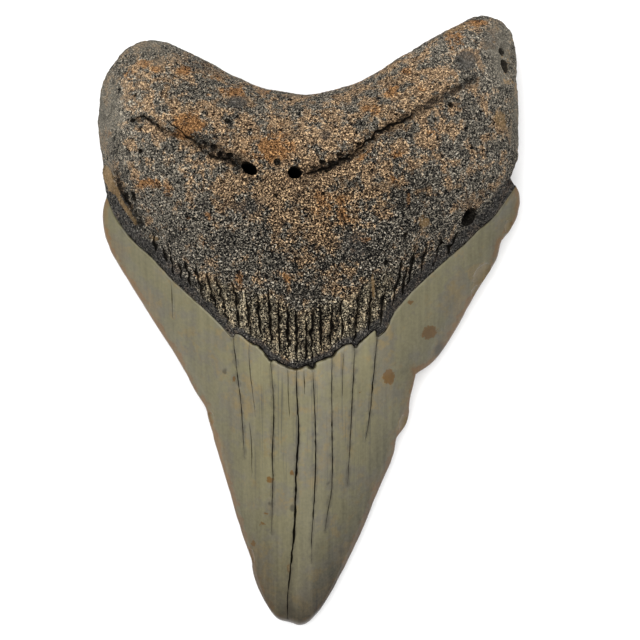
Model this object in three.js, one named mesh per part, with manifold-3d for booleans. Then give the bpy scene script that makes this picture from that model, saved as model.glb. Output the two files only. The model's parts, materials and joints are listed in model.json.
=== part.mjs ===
// A fossil megalodon tooth, lying on its labial face with its lingual face up.
// Millimetres. +X runs across the tooth, +Y from the tip of the crown to the root, +Z up.
// The origin is on the surface that the tooth lies on, below the middle of the tooth.

import * as THREE from 'three';
import { mergeVertices } from 'three/addons/utils/BufferGeometryUtils.js';
import Module from 'manifold-3d';

const wasm = await Module();
wasm.setup();

// The grid that the body is drawn on: columns across the tooth, rows from the tip to the root's top
const COLUMNS = 28;
const CROWN_ROWS = 28;
const ROOT_ROWS = 13;
// The share of the rows at which the crown's shoulders lie
const SHOULDER = 0.62;
// How far columns and rows crowd towards the edges, where the surface turns
const EDGE_CROWDING = 0.6;

// The outline, seen from above, as smooth runs that meet at the corners left by chips and shoulders
const LEFT_CROWN = [
  { rows: 4, points: [[-7.1, -55.6], [-9.3, -51.8], [-10.6, -48.4], [-11.2, -44.8]] },
  { rows: 9, points: [[-11.2, -44.8], [-13.1, -39.6], [-15.3, -32], [-17.6, -24.4], [-19.4, -18]] },
  {
    rows: 15,
    points: [
      [-19.4, -18], [-19.9, -16.2], [-21.9, -13], [-24.9, -7.5], [-30.5, 1.4], [-36.2, 10.6],
      [-38.4, 14.8], [-39.3, 19.4], [-39.1, 21.9], [-38.3, 24.2],
    ],
  },
];
const RIGHT_CROWN = [
  {
    rows: 11,
    points: [[2.1, -54.8], [5.7, -48.7], [9.7, -40.4], [13.8, -30.5], [15.9, -25.6], [16.5, -22.4]],
  },
  { rows: 4, points: [[16.5, -22.4], [18.6, -19], [19.3, -14.3], [20.2, -9.9]] },
  {
    rows: 9,
    points: [[20.2, -9.9], [23.5, -7.7], [26.9, -3.1], [32, 6], [35.5, 11.7], [36.3, 15]],
  },
  {
    rows: 4,
    points: [[36.3, 15], [38.7, 18.3], [39.7, 20.8], [39.9, 24], [38.2, 27.2]],
  },
];
const LEFT_ROOT = [
  {
    rows: ROOT_ROWS,
    points: [
      [-38.3, 24.2], [-39.1, 28.2], [-39.1, 30.6], [-39.9, 35.4], [-39.9, 40], [-39, 45.9],
      [-37.3, 48.6],
    ],
  },
];
const RIGHT_ROOT = [
  {
    rows: ROOT_ROWS,
    points: [
      [38.2, 27.2], [39.3, 31.1], [39.5, 35.5], [39.6, 40.2], [39.3, 45], [39.4, 50.6],
      [38.1, 54.8],
    ],
  },
];
const ROOT_TOP = [
  [-37.3, 48.6], [-34.5, 51.8], [-29.6, 53.3], [-23.7, 51.4], [-13.2, 46], [-4.7, 43.3],
  [2.9, 43.4], [11.1, 46.5], [20, 51.8], [29, 56.8], [32.4, 57.9], [36, 56.9], [38.1, 54.8],
];
const TIP = [[-7.1, -55.6], [-5.9, -56.7], [-3.7, -57.3], [-2, -57.8], [-0.5, -57.4], [2.1, -54.8]];

// The cutting edges as they ran before they were chipped, as [y, x]: the crown's faces keep their slope
// up to a chip, and are broken off there
const LEFT_WHOLE_EDGE = [
  [-57, -7.2], [-50, -10.2], [-40, -13.2], [-20, -19.6], [-10, -23.8], [0, -29.8], [10, -36],
  [16, -39.2], [21, -39.8],
];
const RIGHT_WHOLE_EDGE = [
  [-57, 1.4], [-50, 5.2], [-40, 10.1], [-20, 18.6], [-10, 23], [0, 28.8], [8, 34], [16, 38.4],
  [21, 40],
];

// Heights above the surface that the tooth lies on, from the tip (0) to the root's top (1)
const SIDE_HEIGHTS = [[0, 3], [0.1, 2.8], [0.3, 3.2], [0.5, 4.6], [0.62, 6.4], [0.74, 7.8], [1, 8.4]];
const LINGUAL_HEIGHTS = [
  [0, 4.4], [0.05, 6.2], [0.2, 10.9], [0.37, 16.4], [0.5, 20], [0.62, 23], [0.7, 23.6],
  [0.82, 22.8], [1, 19.5],
];
const LABIAL_HEIGHTS = [
  [0, 2], [0.1, 0.8], [0.2, -0.1], [0.34, -0.2], [0.48, 0.8], [0.62, 1.6], [0.8, 1.6], [1, 1.6],
];
// The two lobes of the root reach down to the surface, and so does the lower crown
const LOBE_RESTS = [[-27, 40], [28, 42]];
const LOBE_REST_DEPTH = 2.8;
const LOBE_REST_REACH = 12;
// Half the thickness that wear has left at the outer edge of the crown and of the root
const CROWN_EDGE = 0.4;
const ROOT_EDGE = 0.8;
// Rows over which the root's top edge and the tip are rounded
const TOP_ROUNDING = 0.28;
const TIP_ROUNDING = 0.05;

// The enamel stands proud of the root that it covers, and stops along a V on the lingual face
const ENAMEL_STEP = 0.4;
const ENAMEL_INSET = 0.012;
const LINGUAL_ENAMEL_LINE = [
  [-41, 27.5], [-38.4, 24], [-37.1, 20.3], [-34.7, 16.8], [-29.8, 12.1], [-22.2, 4.5], [-14.5, -2.7],
  [-11, -3.8], [-7.6, -7.1], [-1.7, -8.8], [0.7, -8.5], [2.7, -6.8], [6.6, -4.6], [8.8, -4.8],
  [10.5, -2.9], [13.2, -2.5], [16, 1.8], [22.4, 8.5], [29.3, 14.6], [34.2, 19.1], [38.6, 24.9],
  [41, 28.5],
];
const LABIAL_ENAMEL_LINE = [
  [-41, 21], [-30, 15.5], [-18, 11], [-6, 8.2], [0, 7.6], [8, 8.6], [20, 13], [30, 18], [41, 24],
];
// How far below and above the lingual line the crown's section swells into the root's
const ROOT_SWELL_BELOW = 3;
const ROOT_SWELL_ABOVE = 17;
// The level at which the lingual line gives way to the labial one, inside the tooth
const ENAMEL_SPLIT = 5.5;
const SAFE = 60;

// Drying cracks that run down the crown from the enamel's edge
const CRACK_WIDTH = 0.5;
const CRACK_DEPTH = 1.1;
const CROWN_CRACKS = [
  [[-14.5, -2.2], [-13.5, -10.7], [-12.7, -19.1], [-12.3, -25.4]],
  [[-7.3, -6.6], [-6.9, -16.2], [-7, -29.2], [-7.2, -40.2]],
  [[0.5, -8.3], [1.1, -19.7], [1, -31.8], [0.4, -45.7]],
  [[4.5, -5.6], [4.2, -22.1], [4, -33], [2.9, -40.2]],
  [[8.5, -4.2], [7.8, -20.6], [7.2, -30.9]],
  [[12.9, -2.3], [11.9, -12.3], [10.5, -22.7]],
];
const LONG_CRACK = [
  [-2.4, -8.4], [-2.1, -17.4], [-2.4, -26.5], [-2.8, -36], [-3.5, -45.9], [-4.2, -57],
];
const LONG_CRACK_WIDTH = 0.75;

// Furrows that run up the root from the enamel's edge: where each one meets the edge, its length,
// and how far its upper end lies to the side
const STRIA_WIDTH = 0.75;
const STRIA_DEPTH = 0.8;
const STRIAE = [
  [-29, 13.2, 3.6, -0.8], [-25.7, 8.9, 4, -0.9], [-21.9, 5.8, 4.4, -1.3], [-17.8, 2.6, 7.4, -1.8],
  [-15.3, 0.2, 8.4, -1.2], [-13.2, -1.2, 8.4, -0.8], [-10.6, -2.4, 8.2, -0.6], [-9, -3.2, 8.2, -0.8],
  [-7.2, -5.2, 12, -0.4], [-5.5, -6.6, 11, -0.2], [-3.9, -7.2, 10, -0.1], [-2.4, -7.6, 10.5, -0.2],
  [-0.7, -7.8, 10, 0], [0.5, -7.4, 10, 0], [2.3, -5.6, 9, -0.2], [4.2, -4.4, 8.2, 0],
  [6.2, -3.6, 8, 0], [8.5, -3.6, 9.4, 0.7], [11.5, -1.4, 7.6, 0.4], [13.8, -0.6, 6.6, 0.9],
  [16.1, 3.2, 7.4, 1.1], [19.4, 7, 5.4, 0.3], [23.3, 10.6, 4.3, 1.3], [26.3, 13.4, 3.4, 1.4],
];

// The furrow that crosses the root to the two openings through which its vessels ran
const LEFT_CHANNEL = [
  [-24.6, 37.4], [-23, 35.2], [-19.1, 32.5], [-16.4, 31.5], [-13.2, 29.5], [-11.2, 28.6],
];
const RIGHT_CHANNEL = [
  [-2.2, 28], [0.5, 28.7], [3.3, 29.2], [5.4, 31.2], [10.7, 33.5], [14, 36.2], [18.2, 38.1],
  [22.7, 41], [26.8, 44.2], [31.3, 45.5],
];
const BRANCH_CHANNEL = [[-33, 37.9], [-30.2, 38.1], [-27.4, 35.7]];
const CHANNEL_WIDTH = 1.9;
const CHANNEL_DEPTH = 1.2;
const OPENINGS = [
  { at: [-11.2, 28.5], radii: [1.75, 1.1, 4.6], turn: -0.6, lean: 0.35 },
  { at: [-2.8, 27.7], radii: [1.5, 1.2, 4.2], turn: 0.3, lean: -0.25 },
];

// Pits in the root: where each one is, and its half-width, half-height and depth
const PITS = [
  [30.1, 19.7, 1.35, 1.9, 1.1], [-6, 29.8, 0.7, 0.7, 0.9], [4.2, 29.8, 0.7, 0.7, 0.9],
  [-15.3, 37.6, 0.6, 0.6, 0.7], [-31.7, 32, 0.6, 0.6, 0.7], [26.5, 40.6, 0.7, 0.7, 0.8],
  [18, 16.1, 0.6, 0.6, 0.7], [14.4, 11, 0.6, 0.7, 0.7], [-33.3, 23.5, 0.8, 1, 0.8],
  [36.4, 50.9, 0.5, 0.5, 0.6], [36.8, 48.2, 0.6, 1.3, 0.6], [29.3, 48.9, 1.9, 1.9, 0.45],
];
// Flakes off the right cutting edge, as shallow scoops
const FLAKES = [[33, 9, 2.1, 2, 0.6], [31.9, 5.9, 1.3, 1.5, 0.4]];
const FLAKE_STEPS = [12, 8];
const PIT_STEPS = [8, 6];

// Tooth material, as the eye averages it
const FOSSIL_COLOUR = 0x6b6354;
const FOSSIL_ROUGHNESS = 0.6;

const toVectors = (points) => points.map(([x, y]) => new THREE.Vector3(x, y, 0));
const smoothCurve = (points) => new THREE.CatmullRomCurve3(toVectors(points), false, 'centripetal');
const smoothstep = THREE.MathUtils.smoothstep;
const lerp = THREE.MathUtils.lerp;

// A value read off a list of [place, value] stations, on a smooth line through all of them
function along(stations, place) {
  const last = stations.length - 1;
  let index = 0;
  while (index < last - 1 && place > stations[index + 1][0]) {
    index += 1;
  }
  const station = (offset) => stations[THREE.MathUtils.clamp(index + offset, 0, last)];
  const slope = (before, after) => (after[1] - before[1]) / (after[0] - before[0]);
  const [x0, y0] = station(0);
  const [x1, y1] = station(1);
  const span = x1 - x0;
  const t = (place - x0) / span;
  const startSlope = index === 0 ? (y1 - y0) / span : slope(station(-1), station(1));
  const endSlope = index === last - 1 ? (y1 - y0) / span : slope(station(0), station(2));
  const rise = (1 + 2 * t) * (1 - t) ** 2 * y0 + t * t * (3 - 2 * t) * y1;
  return rise + span * (t * (1 - t) ** 2 * startSlope + t * t * (t - 1) * endSlope);
}

// One side of the outline as a function of the row share
function sideLine(crownRuns, rootRuns) {
  const prepare = (runs) => runs.map((run) => ({ rows: run.rows, curve: smoothCurve(run.points) }));
  const crown = prepare(crownRuns);
  const root = prepare(rootRuns);
  return (v) => {
    const inCrown = v <= SHOULDER;
    const runs = inCrown ? crown : root;
    const share = inCrown ? v / SHOULDER : (v - SHOULDER) / (1 - SHOULDER);
    let row = share * (inCrown ? CROWN_ROWS : ROOT_ROWS);
    let index = 0;
    while (index < runs.length - 1 && row > runs[index].rows) {
      row -= runs[index].rows;
      index += 1;
    }
    return runs[index].curve.getPointAt(Math.min(row / runs[index].rows, 1));
  };
}

const leftLine = sideLine(LEFT_CROWN, LEFT_ROOT);
const rightLine = sideLine(RIGHT_CROWN, RIGHT_ROOT);
const topLine = smoothCurve(ROOT_TOP);
const tipLine = smoothCurve(TIP);
const CORNERS = {
  tipLeft: leftLine(0),
  tipRight: rightLine(0),
  topLeft: leftLine(1),
  topRight: rightLine(1),
};

// The plan of the tooth: a patch that is stretched between the four lines of the outline
function planPoint(u, v) {
  const left = leftLine(v);
  const right = rightLine(v);
  const top = topLine.getPointAt(u);
  const tip = tipLine.getPointAt(u);
  const patch = (axis) => {
    const across = lerp(left[axis], right[axis], u);
    const lengthwise = lerp(tip[axis], top[axis], v);
    const tipCorners = lerp(CORNERS.tipLeft[axis], CORNERS.tipRight[axis], u);
    const topCorners = lerp(CORNERS.topLeft[axis], CORNERS.topRight[axis], u);
    return across + lengthwise - lerp(tipCorners, topCorners, v);
  };
  return new THREE.Vector2(patch('x'), patch('y'));
}

// How far across the unchipped crown a place lies: -1 at its left edge, 1 at its right one
function wholeShare({ x, y }) {
  const left = along(LEFT_WHOLE_EDGE, y);
  const right = along(RIGHT_WHOLE_EDGE, y);
  return THREE.MathUtils.clamp((2 * x - left - right) / (right - left), -1, 1);
}

// How full each face is across the tooth: a sharp-edged lens in the crown, a rounded bar in the root
function fullness(share, v, rootward, lingual) {
  const across = Math.abs(share);
  const crown = 1 - across ** (lingual ? 2.1 : 2.2);
  const root = (1 - across ** (lingual ? 2.6 : 5)) ** (lingual ? 0.55 : 0.4);
  const towardsTop = Math.max(0, (v - 1 + TOP_ROUNDING) / TOP_ROUNDING);
  const towardsTip = Math.max(0, 1 - v / TIP_ROUNDING);
  const rounding = (1 - towardsTop ** (lingual ? 2.4 : 4)) ** 0.5 * (1 - towardsTip ** 2) ** 0.5;
  return lerp(crown, root, rootward) * rounding;
}

// The enamel thins out towards the cutting edges
const enamelStep = (full, enamel) => (enamel ? ENAMEL_STEP * Math.min(1, 5 * full) : 0);

// One point of the body; the root layer lies under the enamel layer wherever there is enamel
function bodyPoint(column, v, face, enamel) {
  const rootward = smoothstep(v, SHOULDER - 0.05, SHOULDER + 0.08);
  const inset = enamel ? 1 : lerp(1 - ENAMEL_INSET, 1, rootward);
  const s = lerp(column, Math.sin((Math.PI / 2) * column), EDGE_CROWDING) * inset;
  const plan = planPoint((s + 1) / 2, v);
  const across = lerp(wholeShare(plan), s, rootward);
  const side = along(SIDE_HEIGHTS, v);
  const edge = lerp(enamel ? CROWN_EDGE : CROWN_EDGE / 2, ROOT_EDGE, rootward) * face;
  if (face > 0) {
    const rise = along(LINGUAL_HEIGHTS, v) - side;
    const aboveLine = plan.y - along(LINGUAL_ENAMEL_LINE, plan.x);
    const swelling = smoothstep(aboveLine, -ROOT_SWELL_BELOW, ROOT_SWELL_ABOVE);
    const full = fullness(across, v, swelling, true);
    return [plan.x, plan.y, side + edge + rise * full + enamelStep(full, enamel)];
  }
  const lobes = LOBE_RESTS.map(([x, y]) => Math.hypot(plan.x - x, plan.y - y) / LOBE_REST_REACH);
  const lobeDepth = lobes.reduce((sum, reach) => sum + LOBE_REST_DEPTH * Math.exp(-reach * reach), 0);
  const drop = side - along(LABIAL_HEIGHTS, v) + lobeDepth;
  const floor = enamel ? 0 : lerp(ENAMEL_STEP, 0, rootward);
  const full = fullness(across, v, rootward, false);
  return [plan.x, plan.y, Math.max(floor, side + edge - drop * full - enamelStep(full, enamel))];
}

// Rows are even in the crown, and crowd towards the root's top edge
function rowShare(row) {
  if (row <= CROWN_ROWS) {
    return (row / CROWN_ROWS) * SHOULDER;
  }
  const share = (row - CROWN_ROWS) / ROOT_ROWS;
  return SHOULDER + (1 - SHOULDER) * lerp(share, Math.sin((Math.PI / 2) * share), EDGE_CROWDING);
}

function bodyGeometry(enamel) {
  const rows = CROWN_ROWS + ROOT_ROWS;
  const geometry = new THREE.BoxGeometry(2, 2, 2, COLUMNS, rows, 1);
  const position = geometry.attributes.position;
  for (let i = 0; i < position.count; i += 1) {
    const row = Math.round(((position.getY(i) + 1) / 2) * rows);
    const share = enamel ? rowShare(row) : lerp(ENAMEL_INSET, 1, rowShare(row));
    position.setXYZ(i, ...bodyPoint(position.getX(i), share, Math.sign(position.getZ(i)), enamel));
  }
  return geometry;
}

// Geometry to solid and back
function toSolid(geometry) {
  const bare = geometry.clone();
  bare.deleteAttribute('normal');
  bare.deleteAttribute('uv');
  const merged = mergeVertices(bare, 1e-5);
  const mesh = new wasm.Mesh({
    numProp: 3,
    vertProperties: new Float32Array(merged.attributes.position.array),
    triVerts: new Uint32Array(merged.index.array),
  });
  return new wasm.Manifold(mesh);
}

function toGeometry(solid) {
  const mesh = solid.getMesh();
  const geometry = new THREE.BufferGeometry();
  geometry.setAttribute('position', new THREE.BufferAttribute(mesh.vertProperties, mesh.numProp));
  geometry.setIndex(new THREE.BufferAttribute(mesh.triVerts, 1));
  return geometry;
}

// The space below an enamel line, between two levels
function enamelSpace(line, low, high) {
  const shape = new THREE.Shape();
  shape.moveTo(-SAFE, -SAFE);
  shape.lineTo(SAFE, -SAFE);
  [...line].reverse().forEach(([x, y]) => shape.lineTo(x, y));
  const geometry = new THREE.ExtrudeGeometry(shape, { depth: high - low, bevelEnabled: false });
  return toSolid(geometry.translate(0, 0, low));
}

function toothBody() {
  const root = toSolid(bodyGeometry(false));
  const lingual = enamelSpace(LINGUAL_ENAMEL_LINE, ENAMEL_SPLIT, SAFE);
  const labial = enamelSpace(LABIAL_ENAMEL_LINE, -SAFE, ENAMEL_SPLIT);
  const crown = toSolid(bodyGeometry(true)).intersect(lingual.add(labial));
  return root.add(crown);
}

// The height of the upper face at a place, read off the body before anything is cut into it
function heightReader(solid) {
  const skin = new THREE.Mesh(toGeometry(solid), new THREE.MeshBasicMaterial());
  const down = new THREE.Vector3(0, 0, -1);
  const ray = new THREE.Raycaster();
  return (x, y) => {
    ray.set(new THREE.Vector3(x, y, SAFE), down);
    const [hit] = ray.intersectObject(skin);
    return hit ? hit.point.z : along(SIDE_HEIGHTS, SHOULDER);
  };
}

// A V-shaped furrow that follows the upper face along a path and tapers at its ends
function furrow(path, width, depth, steps, heightAt) {
  const curve = smoothCurve(path);
  const clearance = 1.2;
  const corners = [];
  for (let i = 0; i <= steps; i += 1) {
    const place = curve.getPointAt(i / steps);
    const heading = curve.getTangentAt(i / steps);
    const taper = 0.25 + 0.75 * Math.sin((Math.PI * (i + 0.5)) / (steps + 1)) ** 0.5;
    const half = ((width / 2) * taper * (depth + clearance)) / depth;
    const surface = heightAt(place.x, place.y);
    corners.push(
      [place.x - heading.y * half, place.y + heading.x * half, surface + clearance],
      [place.x + heading.y * half, place.y - heading.x * half, surface + clearance],
      [place.x, place.y, surface - depth * taper],
    );
  }
  const faces = [[0, 2, 1]];
  for (let i = 0; i < steps; i += 1) {
    for (let k = 0; k < 3; k += 1) {
      const a = 3 * i + k;
      const b = 3 * i + ((k + 1) % 3);
      faces.push([a, b, a + 3], [b, b + 3, a + 3]);
    }
  }
  faces.push([3 * steps, 3 * steps + 1, 3 * steps + 2]);
  const geometry = new THREE.BufferGeometry();
  geometry.setAttribute('position', new THREE.Float32BufferAttribute(corners.flat(), 3));
  geometry.setIndex(faces.flat());
  return toSolid(geometry);
}

// A rounded hole or scoop, sunk into the upper face to a given depth
function hollow([x, y, halfWidth, halfHeight, depth], [around, down], heightAt) {
  const geometry = new THREE.SphereGeometry(1, around, down);
  const lift = depth < halfWidth ? (halfWidth * halfWidth - depth * depth) / (2 * depth) : 0;
  const radius = depth + lift;
  const spread = Math.sqrt(radius * radius - lift * lift);
  geometry.scale((radius * halfWidth) / spread, (radius * halfHeight) / spread, radius);
  return toSolid(geometry.translate(x, y, heightAt(x, y) + lift));
}

function vesselOpening({ at: [x, y], radii, turn, lean }, heightAt) {
  const geometry = new THREE.SphereGeometry(1, 10, 8);
  geometry.scale(...radii);
  geometry.rotateY(lean);
  geometry.rotateZ(turn);
  return toSolid(geometry.translate(x, y, heightAt(x, y) - 0.6));
}

function carvings(heightAt) {
  const crack = (path, width, steps) => furrow(path, width, CRACK_DEPTH, steps, heightAt);
  const channel = (path, steps) => furrow(path, CHANNEL_WIDTH, CHANNEL_DEPTH, steps, heightAt);
  const striae = STRIAE.map(([x, y, length, drift]) => {
    const path = [[x, y], [x + drift / 2, y + length / 2], [x + drift, y + length]];
    return furrow(path, STRIA_WIDTH, STRIA_DEPTH, 3, heightAt);
  });
  return [
    ...CROWN_CRACKS.map((path) => crack(path, CRACK_WIDTH, 7)),
    crack(LONG_CRACK, LONG_CRACK_WIDTH, 12),
    ...striae,
    channel(LEFT_CHANNEL, 7),
    channel(RIGHT_CHANNEL, 12),
    channel(BRANCH_CHANNEL, 4),
    ...OPENINGS.map((opening) => vesselOpening(opening, heightAt)),
    ...PITS.map((pit) => hollow(pit, PIT_STEPS, heightAt)),
    ...FLAKES.map((flake) => hollow(flake, FLAKE_STEPS, heightAt)),
  ];
}

function toothGeometry() {
  const body = toothBody();
  const carved = carvings(heightReader(body)).reduce((solid, cutter) => solid.subtract(cutter), body);
  const geometry = toGeometry(carved.simplify(0.02)).toNonIndexed();
  geometry.computeVertexNormals();
  return geometry;
}

const fossil = new THREE.MeshStandardMaterial({
  color: FOSSIL_COLOUR,
  roughness: FOSSIL_ROUGHNESS,
  metalness: 0,
});

const tooth = new THREE.Mesh(toothGeometry(), fossil);
tooth.name = 'tooth';

const specimen = new THREE.Group();
specimen.add(tooth);

export default specimen;
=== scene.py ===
"""A fossil megalodon tooth, lying on its labial face: its pitted root and its cracked enamel crown.

The places below are in millimetres on the tooth, seen from above with the root away from the viewer,
and become metres when a mesh is made. The names of the faces are the usual ones: lingual faces up here,
and labial faces down.
"""

import json
import logging
import math
from dataclasses import dataclass, field
from enum import Enum

import bpy
import numpy as np
from mathutils import Euler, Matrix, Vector, noise
from mathutils.bvhtree import BVHTree

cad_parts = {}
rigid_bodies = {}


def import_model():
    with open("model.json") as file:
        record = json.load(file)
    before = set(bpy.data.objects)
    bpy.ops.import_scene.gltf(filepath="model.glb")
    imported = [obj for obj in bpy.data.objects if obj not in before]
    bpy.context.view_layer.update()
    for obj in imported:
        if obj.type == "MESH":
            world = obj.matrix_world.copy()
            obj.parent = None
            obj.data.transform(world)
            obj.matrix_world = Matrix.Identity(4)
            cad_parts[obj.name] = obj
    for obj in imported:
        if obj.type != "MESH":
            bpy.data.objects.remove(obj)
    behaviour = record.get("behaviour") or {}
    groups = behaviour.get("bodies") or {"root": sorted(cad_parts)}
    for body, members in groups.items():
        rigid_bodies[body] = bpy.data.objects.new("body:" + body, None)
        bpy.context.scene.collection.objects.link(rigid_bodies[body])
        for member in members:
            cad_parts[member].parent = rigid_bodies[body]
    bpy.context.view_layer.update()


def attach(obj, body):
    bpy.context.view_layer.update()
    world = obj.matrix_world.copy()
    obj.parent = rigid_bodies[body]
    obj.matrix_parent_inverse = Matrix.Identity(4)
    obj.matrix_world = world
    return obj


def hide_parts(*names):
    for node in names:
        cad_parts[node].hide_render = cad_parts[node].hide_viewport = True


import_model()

NODE, BODY, SLOT = "tooth", "root", "fossil"
MM = 0.001
# The heights and half-widths on the slab past which a point is on its top face, or on its border
TOP_FACE, BORDER = 0.9, 0.9999
# Heights in mm: one well above the tooth, and that of its edges
WELL_ABOVE, EDGE_HEIGHT = 60.0, 5.0
COARSELY = 6    # Steps between the points of a curve that is only measured from

Point = tuple[float, float]
Span = tuple[float, float]
Places = tuple[Point, ...]

log = logging.getLogger("tooth")


class Paint(Enum):
    """The values painted on the surface, one vertex attribute each."""

    ENAMEL = "enamel_mm"
    STRIATED = "striated"
    BAND = "band"
    SEAM = "seam"
    CRACKED = "cracked"
    CRUST = "crust"
    COARSE = "coarse"
    RUST = "rust"
    OCHRE = "ochre"
    WORN = "worn"
    # black stain, and painted shade along the troughs, in the left shoulder's groove and in a shallow
    # valley of the root
    INK = "ink_and_shade"
    RIM = "rim"
    # painted shade on the enamel, along its cutting edges and on its right
    FLANK = "flank_shade"
    CUT = "cut_mm"


def smoothstep(value: np.ndarray, low: float, high: float) -> np.ndarray:
    """Ramps smoothly from 0 at low to 1 at high."""
    share = np.clip((value - low) / (high - low), 0.0, 1.0)
    return share * share * (3.0 - 2.0 * share)


def lerp(start: np.ndarray, end: np.ndarray, share: np.ndarray) -> np.ndarray:
    """Mixes two values: start at a share of 0, end at a share of 1."""
    return start + (end - start) * share


def along(stations: Places, place: np.ndarray) -> np.ndarray:
    """Reads values off a smooth line through stations.

    Args:
        stations: pairs of a place and the value there, in order of place.
        place: the places to read.

    Returns:
        The value at each place.
    """
    at, value = np.array(stations, float).T
    slope = np.empty_like(value)
    slope[1:-1] = (value[2:] - value[:-2]) / (at[2:] - at[:-2])
    slope[0] = (value[1] - value[0]) / (at[1] - at[0])
    slope[-1] = (value[-1] - value[-2]) / (at[-1] - at[-2])
    index = np.clip(np.searchsorted(at, place) - 1, 0, len(at) - 2)
    span = at[index + 1] - at[index]
    share = (place - at[index]) / span
    back = 1.0 - share
    rise = (1.0 + 2.0 * share) * back**2 * value[index]
    rise += share**2 * (3.0 - 2.0 * share) * value[index + 1]
    return rise + span * share * back * (back * slope[index] - share * slope[index + 1])


def distance_to(plan: np.ndarray, line: "Places | np.ndarray") -> np.ndarray:
    """Measures how far places lie from a line of straight steps.

    Args:
        plan: the places, n by 2.
        line: the points of the line.

    Returns:
        The distance of each place.
    """
    points = np.array(line, float)
    distance = np.full(len(plan), np.inf)
    for start, end in zip(points[:-1], points[1:]):
        step = end - start
        share = np.clip((plan - start) @ step / max(step @ step, 1e-12), 0.0, 1.0)
        gap = np.linalg.norm(plan - start - share[:, None] * step, axis=1)
        distance = np.minimum(distance, gap)
    return distance


def plan_noise(plan: np.ndarray, pitch: float, layer: float) -> np.ndarray:
    """Reads smooth noise at places of the plan.

    Args:
        plan: the places, n by 2, in mm.
        pitch: how quickly the noise changes, per mm.
        layer: which of its layers is read, so that two uses differ.

    Returns:
        A value from -1 to 1 for each place.
    """
    return np.array([noise.noise(Vector((x * pitch, y * pitch, layer))) for x, y in plan])


class Curve:
    """A smooth line through points of the plan, read by the share of its length."""

    def __init__(self, points: Places, fineness: int = 24) -> None:
        """Draws the line.

        Args:
            points: the points that it passes through, in mm.
            fineness: the steps between one point and the next.
        """
        ends = np.array(points, float)
        ends = np.vstack([2 * ends[0] - ends[1], ends, 2 * ends[-1] - ends[-2]])
        gaps = np.linalg.norm(np.diff(ends, axis=0), axis=1) ** 0.5
        share = np.linspace(0.0, 1.0, fineness, endpoint=False)[:, None]
        stretches = []
        for i in range(1, len(ends) - 2):
            before, here, after = gaps[i - 1 : i + 2]
            step = ends[i + 1] - ends[i]
            leave = (ends[i] - ends[i - 1]) / before - (ends[i + 1] - ends[i - 1]) / (before + here)
            reach = (ends[i + 2] - ends[i + 1]) / after - (ends[i + 2] - ends[i]) / (here + after)
            leave = (leave + step / here) * here
            reach = (reach + step / here) * here
            cubic = share**2 * (3.0 - 2.0 * share)
            lean = share * (1.0 - share) * ((1.0 - share) * leave - share * reach)
            stretches.append(ends[i] + cubic * step + lean)
        self.points = np.vstack([*stretches, ends[-2]])
        length = np.linalg.norm(np.diff(self.points, axis=0), axis=1).cumsum()
        self.length = float(length[-1])
        self.share = np.concatenate([[0.0], length]) / self.length

    def at(self, share: np.ndarray) -> np.ndarray:
        """Gives the points at shares of the length, as an array of n by 2."""
        return np.stack([np.interp(share, self.share, self.points[:, k]) for k in (0, 1)], axis=-1)


@dataclass(frozen=True)
class Run:
    """A smooth stretch of the outline, and the number of rows of the body that it takes."""

    rows: int
    points: Places


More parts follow.
